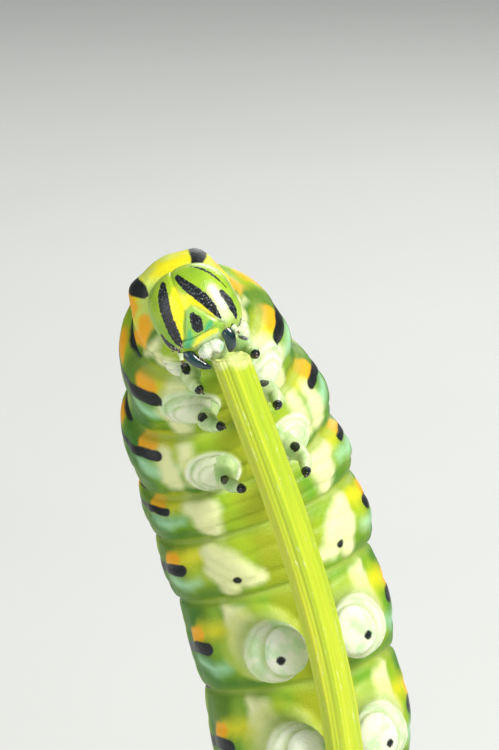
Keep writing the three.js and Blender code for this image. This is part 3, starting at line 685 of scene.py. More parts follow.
def face_material():
    """Lime head capsule: black stripes with painted glints, yellow between them, one cheek paled by painted light.
    """
    nodes = new_material("face")
    place = nodes.place()
    black = nodes.mark("stripe", 0.018, 0.11, 11000.0)
    # Painted glints: bluish-grey specks on the black stripes' grains stand in for their sheen.
    painted_glint = nodes.times(nodes.grains(place, 10500.0, 0.12, 0.36), 0.38)
    colour = nodes.paint(
        (0.40, 0.58, 0.02), (nodes.clouds(place, 900.0, 0.3, 0.7), 1, (0.24, 0.46, 0.02)),
        (nodes.mark("yellow", 0.12, 0.1, 3000.0), 1, (0.86, 0.77, 0.004)),
        # the pale layer is partly painted light: the lit cheek and a highlight by the frons
        (nodes.mark("pale", 0.2, 0.2, 3000.0), 1, (0.62, 0.78, 0.40)),
        (nodes.mark("frons", 0.11, 0.08, 9000.0), 1, (0.30, 0.54, 0.07)),
        (nodes.mark("band", 0.04, 0.08, 9000.0), 1, (0.72, 0.72, 0.04)),
        (nodes.mark("green", 0.08, 0.1, 9000.0), 1, (0.07, 0.44, 0.16)),
        (black, 1, nodes.mix(painted_glint, (0.001, 0.003, 0.005), (0.20, 0.33, 0.40))))
    raised = nodes.times(nodes.grains(place, 10500.0, 0.05, 0.6), nodes.ease(black, 0.0, 1.0, 0.35, 1.5))
    height = nodes.math("ADD", raised, nodes.times(nodes.noise(place, 9000.0, 3.0), 0.5))
    return finish_material(nodes, colour, nodes.ease(black, 0.0, 1.0, 0.32, 0.36),
                           (height, 0.45, 0.00003), (0.15, 0.3), (0.25, 0.2))


def lip_material():
    """Clear whitish lip with an amber edge at its notch and greenish depths."""
    nodes = new_material("clear lip")
    depths = nodes.clouds(nodes.place(), 2600.0, 0.42, 0.68, 3.0)
    colour = nodes.paint((0.72, 0.79, 0.64), (depths, 1, (0.38, 0.60, 0.38)),
                         (nodes.mark("rim", 0.06, 0.12, 9000.0), 0.75, (0.30, 0.13, 0.02)))
    return finish_material(nodes, colour, nodes.ease(depths, 0.0, 1.0, 0.22, 0.34),
                           (nodes.group(SKIN_GRAIN, 0.9, 0.9), 0.4, 0.00004), (0.35, 0.3), (0.3, COAT_ROUGHNESS))


def leg_material():
    """Pale green translucent leg, paler in patches, black on the plate and the foot."""
    nodes = new_material("true leg")
    black = nodes.mark("black", 0.03, 0.12, 6000.0)
    patches = nodes.clouds(nodes.place(), 1500.0, 0.35, 0.65)
    colour = nodes.paint((0.34, 0.54, 0.20), (patches, 1, (0.60, 0.72, 0.38)), (black, 1, BLACK))
    return finish_material(nodes, colour, nodes.ease(black, 0.0, 1.0, 0.36, 0.24),
                           (nodes.group(SKIN_GRAIN, 0.5, 0.6), 0.3, 0.00004), (0.25, 0.35))


def stem_material():
    """Yellow-green stem: lengthwise bands of the ribs' own attribute, pale scratches, bruised at the bite."""
    nodes = new_material("green stem")
    streaks = nodes.clouds(nodes.rolled(3.4, 0.05), 1.0, 0.4, 0.62, 4.0, 0.65)
    broad = nodes.clouds(nodes.rolled(0.9, 0.12), 1.0, 0.38, 0.64)
    scratches = nodes.clouds(nodes.rolled(5.0, 1.1), 1.0, 0.6, 0.7, 3.0, 0.75)
    colour = nodes.paint(
        (0.66, 0.70, 0.03), (streaks, 0.75, (0.44, 0.58, 0.02)), (broad, 0.4, (0.36, 0.54, 0.02)),
        (nodes.attribute("rib"), 0.3, (0.28, 0.46, 0.02)), (scratches, 0.6, (0.76, 0.82, 0.46)),
        (nodes.mark("bite", 0.16, 0.5, 2500.0), 0.85, (0.72, 0.80, 0.30)),
        (nodes.mark("rim", 0.04, 0.2, 5000.0), 0.5, (0.34, 0.30, 0.05)))
    height = nodes.math("ADD", streaks, nodes.times(scratches, 0.8))
    return finish_material(nodes, colour, nodes.ease(scratches, 0.0, 1.0, 0.38, 0.6),
                           (height, 0.4, 0.00004), (0.2, 0.5))


def walnut_material():
    """Dark wood: noise stretched along the grain, with fine pores."""
    nodes = new_material("walnut")
    figure = nodes.clouds(nodes.place((60, 340, 340)), 1.0, 0.3, 0.7, 5.0, 0.55)
    pores = nodes.clouds(nodes.place((260, 5200, 2600)), 1.0, 0.52, 0.68)
    colour = nodes.paint(
        (0.045, 0.022, 0.011), (figure, 1, (0.16, 0.085, 0.042)), (pores, 0.6, (0.02, 0.01, 0.006)))
    return finish_material(nodes, colour, nodes.ease(pores, 0.0, 1.0, 0.33, 0.55),
                           (nodes.times(pores, -1.0), 0.3, 0.00005), None, (0.2, 0.25))


def brass_material():
    """Satin brass: fine turning lines round the rod and a slow tarnish."""
    nodes = new_material("satin brass")
    tarnish = nodes.clouds(nodes.place(), 600.0, 0.35, 0.7, 3.0)
    lines = nodes.noise(nodes.place((400, 400, 16000)), 1.0)
    return finish_material(nodes, nodes.mix(tarnish, (0.62, 0.43, 0.17), (0.42, 0.28, 0.10)),
                           nodes.ease(lines, 0.3, 0.7, 0.24, 0.4), (lines, 0.15, 0.00002), metallic=1.0)


SKIN = skin_material()
FACE = face_material()
LEG = leg_material()
STEM = stem_material()
WALNUT = walnut_material()
BRASS = brass_material()
# The jaws' teal tint, in slow patches over the black, is a painted bluish reflection.
HORN = smooth_material("black horn", (0.004, 0.008, 0.010), (0.006, 0.045, 0.055), 0.1, 0.7, grain=0.12)
CLAW = smooth_material("dark claw", (0.02, 0.014, 0.008), (0.10, 0.06, 0.03), 0.2, 0.4)
LIP = lip_material()
PALE_MOUTH = smooth_material("pale mouthpart", (0.66, 0.78, 0.52), (0.46, 0.62, 0.30), 0.3, flesh=(0.3, 0.4))
AMBER = smooth_material("amber tip", (0.16, 0.07, 0.015), (0.12, 0.0525, 0.01125), 0.25, 0.3)
HAIR = smooth_material("pale hair", (0.72, 0.66, 0.42), (0.54, 0.495, 0.315), 0.3)
EYE = smooth_material("eye lens", (0.012, 0.012, 0.010), (0.009, 0.009, 0.0075), 0.06, 0.9, grain=0.02)


# Body skin


def wrinkles(trunk):
    """Inward depth of the soft creases: two across each segment, wandering, deeper on the belly, narrow lines
    at the folds, two furrows along each flank, and low uneven swelling."""
    phi = np.abs(trunk.phi)[None, :]
    u = trunk.u[:, None] + 0.03 * ripple(trunk.points, 0.35, 3)
    body = trunk.only(1, len(SEGMENTS) - 1)
    ventral = smoothstep(95, 20, phi)
    depth = (0.03 + 0.05 * ventral) * bump(u, 0.34, 0.05) * body
    depth += (0.03 + 0.06 * ventral) * bump(u, 0.72, 0.055) * body
    for start in STARTS[1:-1]:
        depth += 0.11 * bump(trunk.along[:, None], start, 0.13)
    for angle, deep in ((50, 0.07), (86, 0.05)):
        depth += deep * bump(phi, angle, 5) * trunk.swell[:, None] * body
    return depth - 0.03 * ripple(trunk.points, 0.3, 5) - 0.012 * ripple(trunk.points, 0.9, 6)


def hip_rings(trunk):
    """Height of the soft rings round the legs' roots: a dome of the distance from their middle, with creases.
    Gives the height, how white the skin is there, and how deep in a crease a point is."""
    height = np.zeros(trunk.points.shape[:2])
    share, crease_shade = height.copy(), height.copy()
    s, a = trunk.along[:, None], trunk.around()
    for key, (name, _, (u, phi), *_) in LEGS.items():
        for side, _ in SIDES:
            s0, a0 = trunk.at(name, u, phi * side)
            r = np.hypot(s - s0, (a - a0) * 1.08) / RING_RADIUS[key] + 0.05 * ripple(trunk.base, 0.35, 12)
            dome = RING_HEIGHT * (1 - smoothstep(0.35, 1.08, r))
            dome = dome + 0.06 * bump(r, 0.95, 0.08) + 0.05 * bump(r, 0.68, 0.07)
            dents = bump(r, 0.82, 0.055) + 0.8 * bump(r, 0.54, 0.05) + 0.5 * bump(r, 1.12, 0.06)
            height = np.maximum(height, dome) - 0.1 * dents
            share = np.maximum(share, 1 - smoothstep(0.95, 1.1, r))
            # The creases' depth also sets painted shade in the skin's colour.
            crease_shade = np.maximum(crease_shade, np.minimum(dents, 1))
    return height, share, crease_shade


def pleats(trunk):
    """Fine slanting folds of the pale flank pads: sin of the distance across them, faded off the pads."""
    phi = np.abs(trunk.phi)[None, :]
    slant = trunk.along[:, None] * 0.9 + np.radians(phi) * 4.1 * 0.75 + 0.25 * ripple(trunk.base, 0.3, 8)
    pads = smoothstep(20, 30, phi) * smoothstep(56, 46, phi) * trunk.only(3, len(SEGMENTS) - 1)
    lines = (0.5 + 0.5 * np.sin(slant * 2 * math.pi / PLEAT_WIDTH)) ** 4
    return lines * pads * trunk.swell[:, None] * smoothstep(-0.2, 0.5, ripple(trunk.base, 0.4, 9))


# How far marks stand out or in, in mm, where the collar's black spots are, and the prolegs' black dots
PAD_HEIGHT, SPOT_HEIGHT, SPOT_SPREAD, PLEAT_DEPTH, PLEAT_WIDTH = 0.12, 0.22, 0.5, 0.035, 0.5
COLLAR_SPOTS = (0.26, 138), (0.26, -138)
DOT_RADIUS = 0.19


def build_skin():
    """One skin over trunk and prolegs, with every colour's distance kept as an attribute of its points."""
    trunk = Trunk()
    s, a = trunk.along[:, None], trunk.around()
    hips, hip_share, hip_crease_shade = hip_rings(trunk)
    pleat = pleats(trunk)
    distances = {key: shape_distance(s, a, strokes) for key, strokes in mark_strokes(trunk).items()}
    height = hips - wrinkles(trunk) - PLEAT_DEPTH * pleat
    height += PAD_HEIGHT * smoothstep(0.15, -0.45, distances["pale"]) * trunk.only(3, len(SEGMENTS) - 1)
    for u, phi in COLLAR_SPOTS:
        s0, a0 = trunk.at("thorax_1", u, phi)
        height += SPOT_HEIGHT * bump(np.hypot(s - s0, a - a0), 0, SPOT_SPREAD)
    trunk.points = trunk.points + trunk.normals() * height[..., None]
    proleg_share = np.zeros(hips.shape)
    replaced = list(NAMES)
    for name in (*WITH_PROLEGS, NAMES[-1]):
        spec = PROLEG if name in WITH_PROLEGS else TAIL_PROLEG
        for side, word in SIDES:
            q = grow_proleg(trunk, name, side, spec)
            proleg_share = np.maximum(proleg_share, q)
            replaced.append(f"proleg_a{name[-1]}_{word}" if name in WITH_PROLEGS else f"proleg_tail_{word}")
            row, column = trunk.nearest(name, spec["u"] + 0.03, (spec["phi"] + 4) * side)
            from_dot = np.linalg.norm(trunk.points - trunk.points[row, column], axis=-1) - DOT_RADIUS
            distances["black"] = np.minimum(distances["black"], np.where(q > 0.3, from_dot, FAR))
    phi = np.abs(trunk.phi)[None, :] + 0 * s
    # Painted shade: the crease mask darkens the folds between segments, and shaded darkens the rear of each
    # segment on the sides.
    crease_shade, shaded = np.zeros_like(phi), np.zeros_like(phi)
    for start in STARTS[1:-1]:
        crease_shade = np.maximum(crease_shade, bump(s, start, 0.2))
        shaded = np.maximum(shaded, bump(s, start - 0.35, 0.5) * smoothstep(24, 38, phi))
    crease_shade = np.maximum(crease_shade * smoothstep(100, 50, phi), np.maximum(0.6 * hip_crease_shade, 0.3 * pleat))
    proleg_fold_shade = eased_table(*PROLEG_CREASE_SHADE, proleg_share, 0.012) * (proleg_share > 0)
    collar = trunk.only(0) * smoothstep(0.92, 0.6, trunk.u[:, None])
    attributes = {
        # Darker sides, partly the skin's own colour and partly painted shade, joined by the painted shade on each
        # segment's rear.
        "flank_and_shade": np.maximum(smoothstep(52, 66, phi), 0.9 * shaded) * smoothstep(104, 88, phi),
        "skirt": smoothstep(0.0, 0.12, proleg_share) * smoothstep(0.42, 0.2, proleg_share),
        "belly": smoothstep(24, 12, phi) * smoothstep(2.0, 4.5, s),
        # Painted shade in the folds between segments, the hip rings' creases, the pleats and the proleg's folds.
        "crease_shade": np.maximum(crease_shade * (1 - smoothstep(0, 0.2, proleg_share)), proleg_fold_shade),
        "collar": collar * smoothstep(76, 92, phi),
        "white": np.maximum(0.85 * hip_share, smoothstep(0.15, 0.45, proleg_share)),
        **distances,
    }
    make_piece("body_skin", [trunk.points], SKIN, replaced, "skin", attributes)
    return trunk


TRUNK = build_skin()


# Head: half sizes across, up, down, forwards and back, squarer below, and its marks as (across, down, radius)
HEAD = {"half": 1.7, "up": 1.68, "down": 1.6, "front": 1.2, "rear": 1.15}
HEAD_BOXINESS, CHIN_BOXINESS = 0.86, 0.58
FACE_STROKES = {
    "stripe": [
        [(0.15, -1.3, 0.12), (0.35, -0.88, 0.18), (0.56, -0.46, 0.2), (0.73, -0.08, 0.2), (0.86, 0.35, 0.16),
         (0.95, 0.82, 0.05)],
        [(-0.5, -1.3, 0.13), (-0.64, -0.88, 0.22), (-0.76, -0.45, 0.22), (-0.85, 0.0, 0.21),
         (-0.9, 0.45, 0.225), (-0.92, 0.85, 0.17), (-0.92, 1.1, 0.07)],
        [(0.08, 0.26, 0.12), (0.1, 0.5, 0.225), (0.03, 0.74, 0.2)],
    ],
    "yellow": [
        [(-0.12, -0.95, 0.1), (-0.2, -0.45, 0.36), (-0.2, -0.15, 0.44), (0.15, -0.12, 0.42)],
        [(-0.55, 0.0, 0.24), (-0.66, 0.5, 0.16), (-0.74, 0.9, 0.07)],
        [(0.45, 0.1, 0.22), (0.72, 0.5, 0.1), (0.84, 0.9, 0.04)],
    ],
    "pale": [
        # Pale strokes: the lit cheek paled as painted light, a painted highlight by the frons' black spot, and the
        # pale clypeus.
        [(1.12, -0.3, 0.14), (1.2, 0.2, 0.26), (1.14, 0.8, 0.28)], [(0.16, 0.14, 0.07), (0.45, 0.42, 0.09)],
        [(-0.4, 1.42, 0.16), (0.0, 1.36, 0.17), (0.45, 1.36, 0.17)],
    ],
    "band": [[(-0.5, 1.3, 0.04), (-0.2, 1.17, 0.07), (0.15, 1.12, 0.07), (0.6, 1.15, 0.05)]],
    "green": [
        [(-0.72, 1.16, 0.13), (-0.45, 1.0, 0.12), (-0.3, 0.7, 0.05)], [(0.5, 0.82, 0.12), (0.2, 0.98, 0.06)],
    ],
}
# Stripes that bend round the cheeks, left and right, and above the left one a painted shadow:
# a thin black line along the head's back margin, where it meets the collar
SIDE_STRIPES = [
    [(1.4, 0.04, 0.12), (1.49, 0.38, 0.18), (1.49, 0.72, 0.18), (1.43, 1.02, 0.1)],
    [(-1.46, 0.42, 0.09), (-1.42, 0.72, 0.16), (-1.3, 0.98, 0.18), (-1.14, 1.16, 0.11)],
    # painted shadow between the head's back margin and the collar
    [(0.75, -1.45, 0.03), (1.12, -1.14, 0.06), (1.42, -0.68, 0.06), (1.6, -0.1, 0.03)],
]
# Eyes: the turns on their arc, its middle and half sizes (across, down), and each eye's radius and height
EYE_TURNS, EYE_ARC, EYE_ARC_SIZE = range(-40, 212, 42), (1.3, 1.22), (0.13, 0.2)
EYE_RADIUS, EYE_HEIGHT = 0.055, 0.045


def head_to_world(points):
    """Head places (across to the animal's left, up, out) in mm to the row frame."""
    return points @ HEAD_AXES.T + HEAD_PLACE


def head_shape(unit):
    """Boxed ellipsoid: each coordinate of the unit sphere to a power, times the half size on its own side."""
    upper = unit[..., 1] > 0
    power = np.where(upper, HEAD_BOXINESS, CHIN_BOXINESS)
    mixed = HEAD_BOXINESS + (CHIN_BOXINESS - HEAD_BOXINESS) * smoothstep(0.1, -0.5, unit[..., 1])
    x = np.sign(unit[..., 0]) * np.abs(unit[..., 0]) ** mixed * HEAD["half"]
    y = np.sign(unit[..., 1]) * np.abs(unit[..., 1]) ** (0.5 * (power + HEAD_BOXINESS))
    z = np.sign(unit[..., 2]) * np.abs(unit[..., 2]) ** HEAD_BOXINESS
    y = y * np.where(upper, HEAD["up"], HEAD["down"])
    z = z * np.where(unit[..., 2] > 0, HEAD["front"], HEAD["rear"])
    return np.stack([x, y, z], axis=-1)


def frons_edge(across, down):
    """Signed distance to the two sides of the frons, an upside-down V."""
    return np.maximum(-across - 0.11 - 0.576 * (down + 0.1), across - 0.31 - 0.6 * down) * 0.86


def head_relief(p):
    """Depth of the head's lines: the groove of the crown, the outline of the frons, the line over the lip's
    base, and a low swelling of each half."""
    across, down, out = p[..., 0], -p[..., 1], p[..., 2]
    front = smoothstep(0.1, 0.5, out)
    crown = smoothstep(-0.1, -0.8, down)
    depth = 0.035 * bump(across + 0.1 * crown, 0, 0.09) * crown
    depth += 0.02 * bump(across + 0.1, 0, 0.05) * smoothstep(0, -0.3, down)
    edge = frons_edge(across, down)
    on = smoothstep(-0.1, 0.05, down) * smoothstep(1.12, 1.0, down)
    sideways = np.abs(across)
    depth += 0.06 * bump(edge, 0, 0.05) * on * front
    depth -= 0.05 * smoothstep(0.0, -0.25, edge) * on * front
    depth += 0.08 * bump(down, 1.06 - 0.1 * across**2, 0.045) * front * smoothstep(1.0, 0.8, sideways)
    depth -= 0.1 * bump(down, 1.25, 0.12) * front * smoothstep(0.75, 0.5, sideways)
    depth -= 0.05 * bump(sideways, 0.85, 0.5) * bump(down, -0.3, 0.9)
    return depth - 0.014 * ripple(p, 0.8, 11)


def nearest_point(points, across, down):
    """The point of the head's front whose (across, down) is nearest to a place."""
    away = np.hypot(points[..., 0] - across, points[..., 1] + down) + np.where(points[..., 2] > 0, 0, FAR)
    return points.reshape(-1, 3)[np.argmin(away)]


def curve_distance(points, places, radii):
    """Signed distance in space to a chain of rounded strokes through the places."""
    best = np.full(points.shape[:-1], FAR)
    for p0, p1, r0, r1 in zip(places[:-1], places[1:], radii[:-1], radii[1:]):
        step = p1 - p0
        t = np.clip(((points - p0) @ step) / (step @ step), 0, 1)
        away = np.linalg.norm(points - p0 - t[..., None] * step, axis=-1)
        best = np.minimum(best, away - (r0 + t * (r1 - r0)))
    return best


def unit_sphere(rings, sides):
    """Grid of rings without the poles: (sin theta * cos turn, cos theta, sin theta * sin turn)."""
    theta, turn = np.linspace(0, math.pi, rings)[1:-1, None], circle(sides)[None, :]
    return np.stack([np.sin(theta) * np.cos(turn), np.cos(theta) + 0 * turn, np.sin(theta) * np.sin(turn)], -1)


def build_head():
    """Head capsule on a sphere's rings from crown to chin: the head's shape, scaled by 1 - relief / distance from
    its middle, with its marks' distances as attributes."""
    plain = head_shape(unit_sphere(191, 300))
    points = plain * (1 - head_relief(plain) / np.linalg.norm(plain, axis=-1))[..., None]
    across, down, out = plain[..., 0], -plain[..., 1], plain[..., 2]
    back = np.where(out < -0.1, 3.0, 0.0)
    distances = {key: shape_distance(across, down, strokes) + back for key, strokes in FACE_STROKES.items()}
    # The stripes on the cheeks, and the painted shadow line, join the black stripes.
    for strokes in SIDE_STRIPES:
        places = [nearest_point(plain, a, d) for a, d, _ in strokes]
        bent = curve_distance(plain, places, [r for *_, r in strokes])
        distances["stripe"] = np.minimum(distances["stripe"], bent)
    under_crown = np.maximum(down - 1.06, -0.08 - 0.3 * across - down)
    distances["frons"] = np.maximum(frons_edge(across, down), under_crown) + back
    back_margin = np.maximum(out + 0.04, np.maximum(0.3 - across, down - 0.4))
    distances["pale"] = np.minimum(distances["pale"], back_margin)
    make_piece("head", [head_to_world(points)], FACE, ["head_capsule"], "face", distances)
    return points


HEAD_POINTS = build_head()


def face_spot(across, down, height="down"):
    """The head's point nearest to a place on its front, and an ellipsoid's unit normal there."""
    place = nearest_point(HEAD_POINTS, across, down)
    return place, unit(place / np.array([HEAD["half"], HEAD[height], HEAD["front"]]) ** 2)


def dome(centre, axis, radius, height, rings=6, sides=14):
    """A shallow ellipsoid: radius across, height along its axis."""
    helper = np.array([0, 0, 1.0]) if abs(axis[2]) < 0.9 else np.array([1.0, 0, 0])
    side = unit(np.cross(axis, helper))
    other = np.cross(axis, side)
    theta, turn = np.linspace(0, math.pi, rings + 2)[1:-1, None, None], circle(sides)[None, :, None]
    ring = side * np.cos(turn) + other * np.sin(turn)
    return centre + radius * np.sin(theta) * ring + height * np.cos(theta) * axis


def tube_along(path, radii, sides=16, flatness=1.0, softness=0.03, rings=28, facing=(0.3, 0.2, 1.0)):
    """A tapered tube: a smooth curve through the path, round sections of the eased radii, flatter along facing."""
    path = np.array(path, dtype=float)
    t = np.linspace(0, 1, rings)
    keys = np.linspace(0, 1, len(path))
    centre = np.stack([eased_table(keys, path[:, k], t, 0.06) for k in range(3)], -1)
    centre = centre + (path[0] - centre[0]) * (1 - t[:, None]) + (path[-1] - centre[-1]) * t[:, None]
    radius = eased_table(np.linspace(0, 1, len(radii)), radii, t, softness)
    tangent = unit(np.gradient(centre, axis=0))
    side = unit(np.cross(tangent, np.array(facing)))
    other = np.cross(side, tangent)
    turn = circle(sides)[None, :, None]
    ring = side[:, None] * np.cos(turn) + other[:, None] * np.sin(turn) * flatness
    return centre[:, None] + radius[:, None, None] * ring


def build_eyes():
    """Six small domes in an arc on each cheek."""
    for side, word in SIDES:
        eyes = []
        for turn in np.radians(EYE_TURNS):
            across = EYE_ARC[0] + EYE_ARC_SIZE[0] * math.cos(turn)
            place, normal = face_spot(across * side, EYE_ARC[1] + EYE_ARC_SIZE[1] * math.sin(turn))
            eyes.append(dome(head_to_world(place * 0.995), HEAD_AXES @ normal, EYE_RADIUS, EYE_HEIGHT))
        make_piece(f"eyes_{word}", eyes, EYE, (), "horn")


build_eyes()


def from_face(points):
    """Places given as (across, down, out) to the row frame."""
    return head_to_world(np.array(points) * np.array([1, -1, 1]))


# Lips: half sizes and middles (across, up, out), and the upper lip's notch: depth, place across, spread
LIP_HALF, LIP_MIDDLE = (0.55, 0.33, 0.24), (0, -1.7, 0.66)
LOW_LIP_HALF, LOW_LIP_MIDDLE = (0.55, 0.42, 0.38), (0, -1.78, -0.1)
NOTCH_DEPTH, NOTCH_AT, NOTCH_SPREAD = 0.5, 0.05, 0.2
# Jaws: path (across, down, out) and radii
JAWS = {
    "left": (
        [(0.62, 1.1, 0.62), (0.84, 1.3, 0.6), (0.88, 1.6, 0.56), (0.76, 1.9, 0.5), (0.56, 2.12, 0.4)],
        [0.1, 0.22, 0.25, 0.23, 0.2, 0.07]),
    "right": (
        [(-0.98, 1.24, 0.5), (-0.92, 1.5, 0.56), (-0.8, 1.82, 0.55), (-0.6, 2.12, 0.48), (-0.38, 2.34, 0.42)],
        [0.14, 0.22, 0.23, 0.21, 0.15, 0.05]),
}
# Feelers on the left: path and radii of the base and of its tip
FEELER_BASE = [[1.14, 1.34, 0.56], [1.2, 1.46, 0.6], [1.24, 1.58, 0.62]], [0.14, 0.13, 0.09, 0.1, 0.07]
FEELER_TIP = [[1.23, 1.55, 0.62], [1.25, 1.62, 0.63], [1.26, 1.7, 0.63]], [0.05, 0.05, 0.04, 0.035, 0.012]


def build_mouth():
    """Upper lip, jaws, feelers and lower lip, each a closed surface in the head's frame. The lip is an
    ellipsoid with a notch in its lower edge and small knobs. A jaw is a bowed tube, a little flattened."""
    sphere = unit_sphere(50, 80)
    x, y, z = np.moveaxis(sphere, -1, 0)
    dip = bump(x, NOTCH_AT, NOTCH_SPREAD)
    lip = np.stack([x, y + NOTCH_DEPTH * dip * np.clip(-y, 0, 1), z * (1 - 0.3 * dip)], -1) * LIP_HALF + LIP_MIDDLE
    lip += 0.025 * ripple(lip, 2.0, 31)[..., None] * sphere
    rim = np.hypot(lip[..., 0] * 0.7 - 0.03, lip[..., 1] + 1.98) - 0.12
    make_piece("upper_lip", [head_to_world(lip)], LIP, ["labrum"], "mouth", {"rim": rim}, [FAR, 0.1])
    for side, word in SIDES:
        places, radii = JAWS[word]
        jaw = tube_along(from_face(places), radii, sides=26, flatness=0.8, rings=40, facing=HEAD_AXES[:, 2])
        make_piece(f"jaw_{word}", [jaw], HORN, [f"mandible_{word}"], "horn")
        (base, base_radii), (tip, tip_radii) = FEELER_BASE, FEELER_TIP
        base, tip = (from_face(np.array(v) * [side, 1, 1]) for v in (base, tip))
        base = tube_along(base, base_radii, sides=16, rings=20)
        make_piece(f"feeler_base_{word}", [base], PALE_MOUTH, [f"antenna_{word}"], "mouth")
        make_piece(f"feeler_tip_{word}", [tube_along(tip, tip_radii, sides=10, rings=12)], AMBER, (), "mouth")
    low = sphere * LOW_LIP_HALF + LOW_LIP_MIDDLE
    make_piece("lower_lip", [head_to_world(low)], PALE_MOUTH, ["labium"], "mouth")


build_mouth()

# Legs: radii from the hip to the foot, the share along where the foot turns black, the plate's radius, and the
# claw's radii and path: mm ahead of the foot, share of its bend
LEG_RADII = [0.6, 0.56, 0.46, 0.37, 0.41, 0.38, 0.27, 0.27, 0.28, 0.2, 0.21, 0.2, 0.16, 0.08]
LEG_RINGS, LEG_SIDES = 70, 30
FOOT_FROM, PLATE_RADIUS = 0.84, 0.2
CLAW_RADII = [0.075, 0.06, 0.04, 0.01]
CLAW_PATH = (-0.12, 0), (0.03, 0), (0.09, 0.5), (0.07, 1.2)


def build_legs():
    """Each leg is a tapered tube from the hip's soft ring to the foot, its girth eased through three joints, and
    a hooked claw: a thin cone bent towards the stem. The black plate and foot are distances on the tube."""
    claws = []
    for key, (name, (u, phi), _, *tips) in LEGS.items():
        for (side, word), tip, plate in zip(SIDES, tips, LEG_PLATES[key]):
            row, column = TRUNK.nearest(name, u, phi * side)
            hip, axes = TRUNK.points[row, column], TRUNK.axes[row]
            inward = unit(TRUNK.place[row] - hip)
            end = STEM_TOP + np.array(tip)
            reach = np.linalg.norm(end - hip)
            knee = hip * 0.5 + end * 0.5 + axes[:, 0] * side * 0.1 * reach - axes[:, 1] * 0.04 * reach
            path = [hip + inward * 0.45, hip * 0.85 + knee * 0.15, knee, knee * 0.4 + end * 0.6, end]
            tube = tube_along(path, LEG_RADII, LEG_SIDES, softness=0.014, rings=LEG_RINGS, facing=axes[:, 0])
            along = np.linspace(0, 1, LEG_RINGS)[:, None] + np.zeros((1, LEG_SIDES))
            from_plate = tube - STEM_TOP - np.array(plate)
            lengthwise = from_plate @ ((end - hip) / reach)
            oval = np.sqrt((from_plate**2).sum(-1) - 0.65 * lengthwise**2) - PLATE_RADIUS
            black = np.minimum((FOOT_FROM - along) * reach, oval)
            leg = f"leg_{key}_{word}"
            make_piece(leg + "_skin", [tube], LEG, [leg], "leg", {"black": black}, [FAR, -0.3])
            ahead = unit(end - knee)
            bend = unit(STEM_TOP + np.array([0, 0, tip[2]]) - end) * 0.09 - np.array([0, 0, 0.08])
            hook = [end + ahead * forward + bend * share for forward, share in CLAW_PATH]
            claws.append(tube_along(hook, CLAW_RADII, sides=10, rings=14))
    make_piece("claws", claws, CLAW, (), "horn")


build_legs()


def hair(root, direction, length, thickness, bend):
    """A bent cone of five rings of five sides: root + direction * t + bend * t^2, thinning to a point."""
    t = np.linspace(0, 1, 5)[:, None]
    direction = unit(direction)
    centre = root + direction * length * t + bend * length * t**2
    side = unit(np.cross(direction, [0.31, 0.87, 0.38]))
    other = np.cross(direction, side)
    turn = circle(5)[None, :, None]
    ring = side * np.cos(turn) + other * np.sin(turn)
    return centre[:, None] + (thickness * (1.02 - t))[:, None] * ring


# Bristles of each place: how many, shortest, longest, thickness, spread of their aims. And how they bend
BRISTLES = {
    "cheek": (70, 0.12, 0.3, 0.009, 0.25),
    "lip": (46, 0.1, 0.24, 0.008, 0.25),
    "face": (70, 0.06, 0.13, 0.006, 0.3),
    "foot": (12, 0.22, 0.36, 0.009, 0.5),
}
BRISTLE_BEND = 0.15


def build_hairs():
    """Short bristles: on the cheeks, on the lip, over the face and on the feet."""
    rng = np.random.default_rng(41)
    hairs = []

    def scatter(kind):
        return rng.normal(0, BRISTLES[kind][4], 3)

    def grow(kind, root, aim):
        _, shortest, longest, thickness, _ = BRISTLES[kind]
        hairs.append(hair(root, aim, rng.uniform(shortest, longest), thickness, rng.normal(0, BRISTLE_BEND, 3)))

    for _ in range(BRISTLES["cheek"][0]):
        side = rng.choice([-1, 1])
        place, normal = face_spot(side * rng.uniform(0.75, 1.5), rng.uniform(0.9, 1.5))
        aim = HEAD_AXES @ (normal + scatter("cheek") + np.array([0, -0.5, 0.2]))
        grow("cheek", head_to_world(place * 0.99), aim)
    for _ in range(BRISTLES["lip"][0]):
        across, down = rng.uniform(-0.5, 0.5), rng.uniform(1.3, 1.95)
        aim = HEAD_AXES @ (np.array([across, -0.7, 0.7]) + scatter("lip"))
        grow("lip", from_face([across, down, 0.8]), aim)
    for _ in range(BRISTLES["face"][0]):
        place, normal = face_spot(rng.uniform(-1.3, 1.3), rng.uniform(-1.3, 1.0), "up")
        grow("face", head_to_world(place * 0.99), HEAD_AXES @ (normal + scatter("face")))
    for _, _, _, *tips in LEGS.values():
        for (side, _), tip in zip(SIDES, tips):
            for _ in range(BRISTLES["foot"][0]):
                aim = np.array([side * 0.3, -0.7, -0.3]) + scatter("foot")
                root = STEM_TOP + np.array(tip) + np.array([0, 0.22, 0.04]) + rng.normal(0, 0.06, 3)
                grow("foot", root, aim)
    make_piece("bristles", hairs, HAIR, (), "mouth")


build_hairs()


# Stem, measured down from its bitten top
STEM_RADIUS, STEM_LENGTH, STEM_RIBS, RIB_HEIGHT = 0.72, 44.0, 9, 0.026
STEM_SIDES, STEM_STEPS, STEM_FINE_STEPS = 112, 880, 60
TOP_LEAN, LEAN_EASES_FROM, LEAN_GONE_AT = 19.5, 3.0, 26.0
# The bite: its rise, its slope across the stem, how far down it moves the rim, and waves of (height, count, turn)
BITE_RISE, BITE_SLOPE, BITE_REACH = 0.16, 0.24, 2.0
BITE_TEETH = (0.03, 3, 0), (0.022, 7, 1), (0.014, 13, 2)
# Rings of the hollow middle: share of the rim's size, and how deep they lie
PITH = ((0.2, -0.02), (0.45, 0.04), (0.7, 0.05), (0.88, 0.02), (0.96, -0.01))


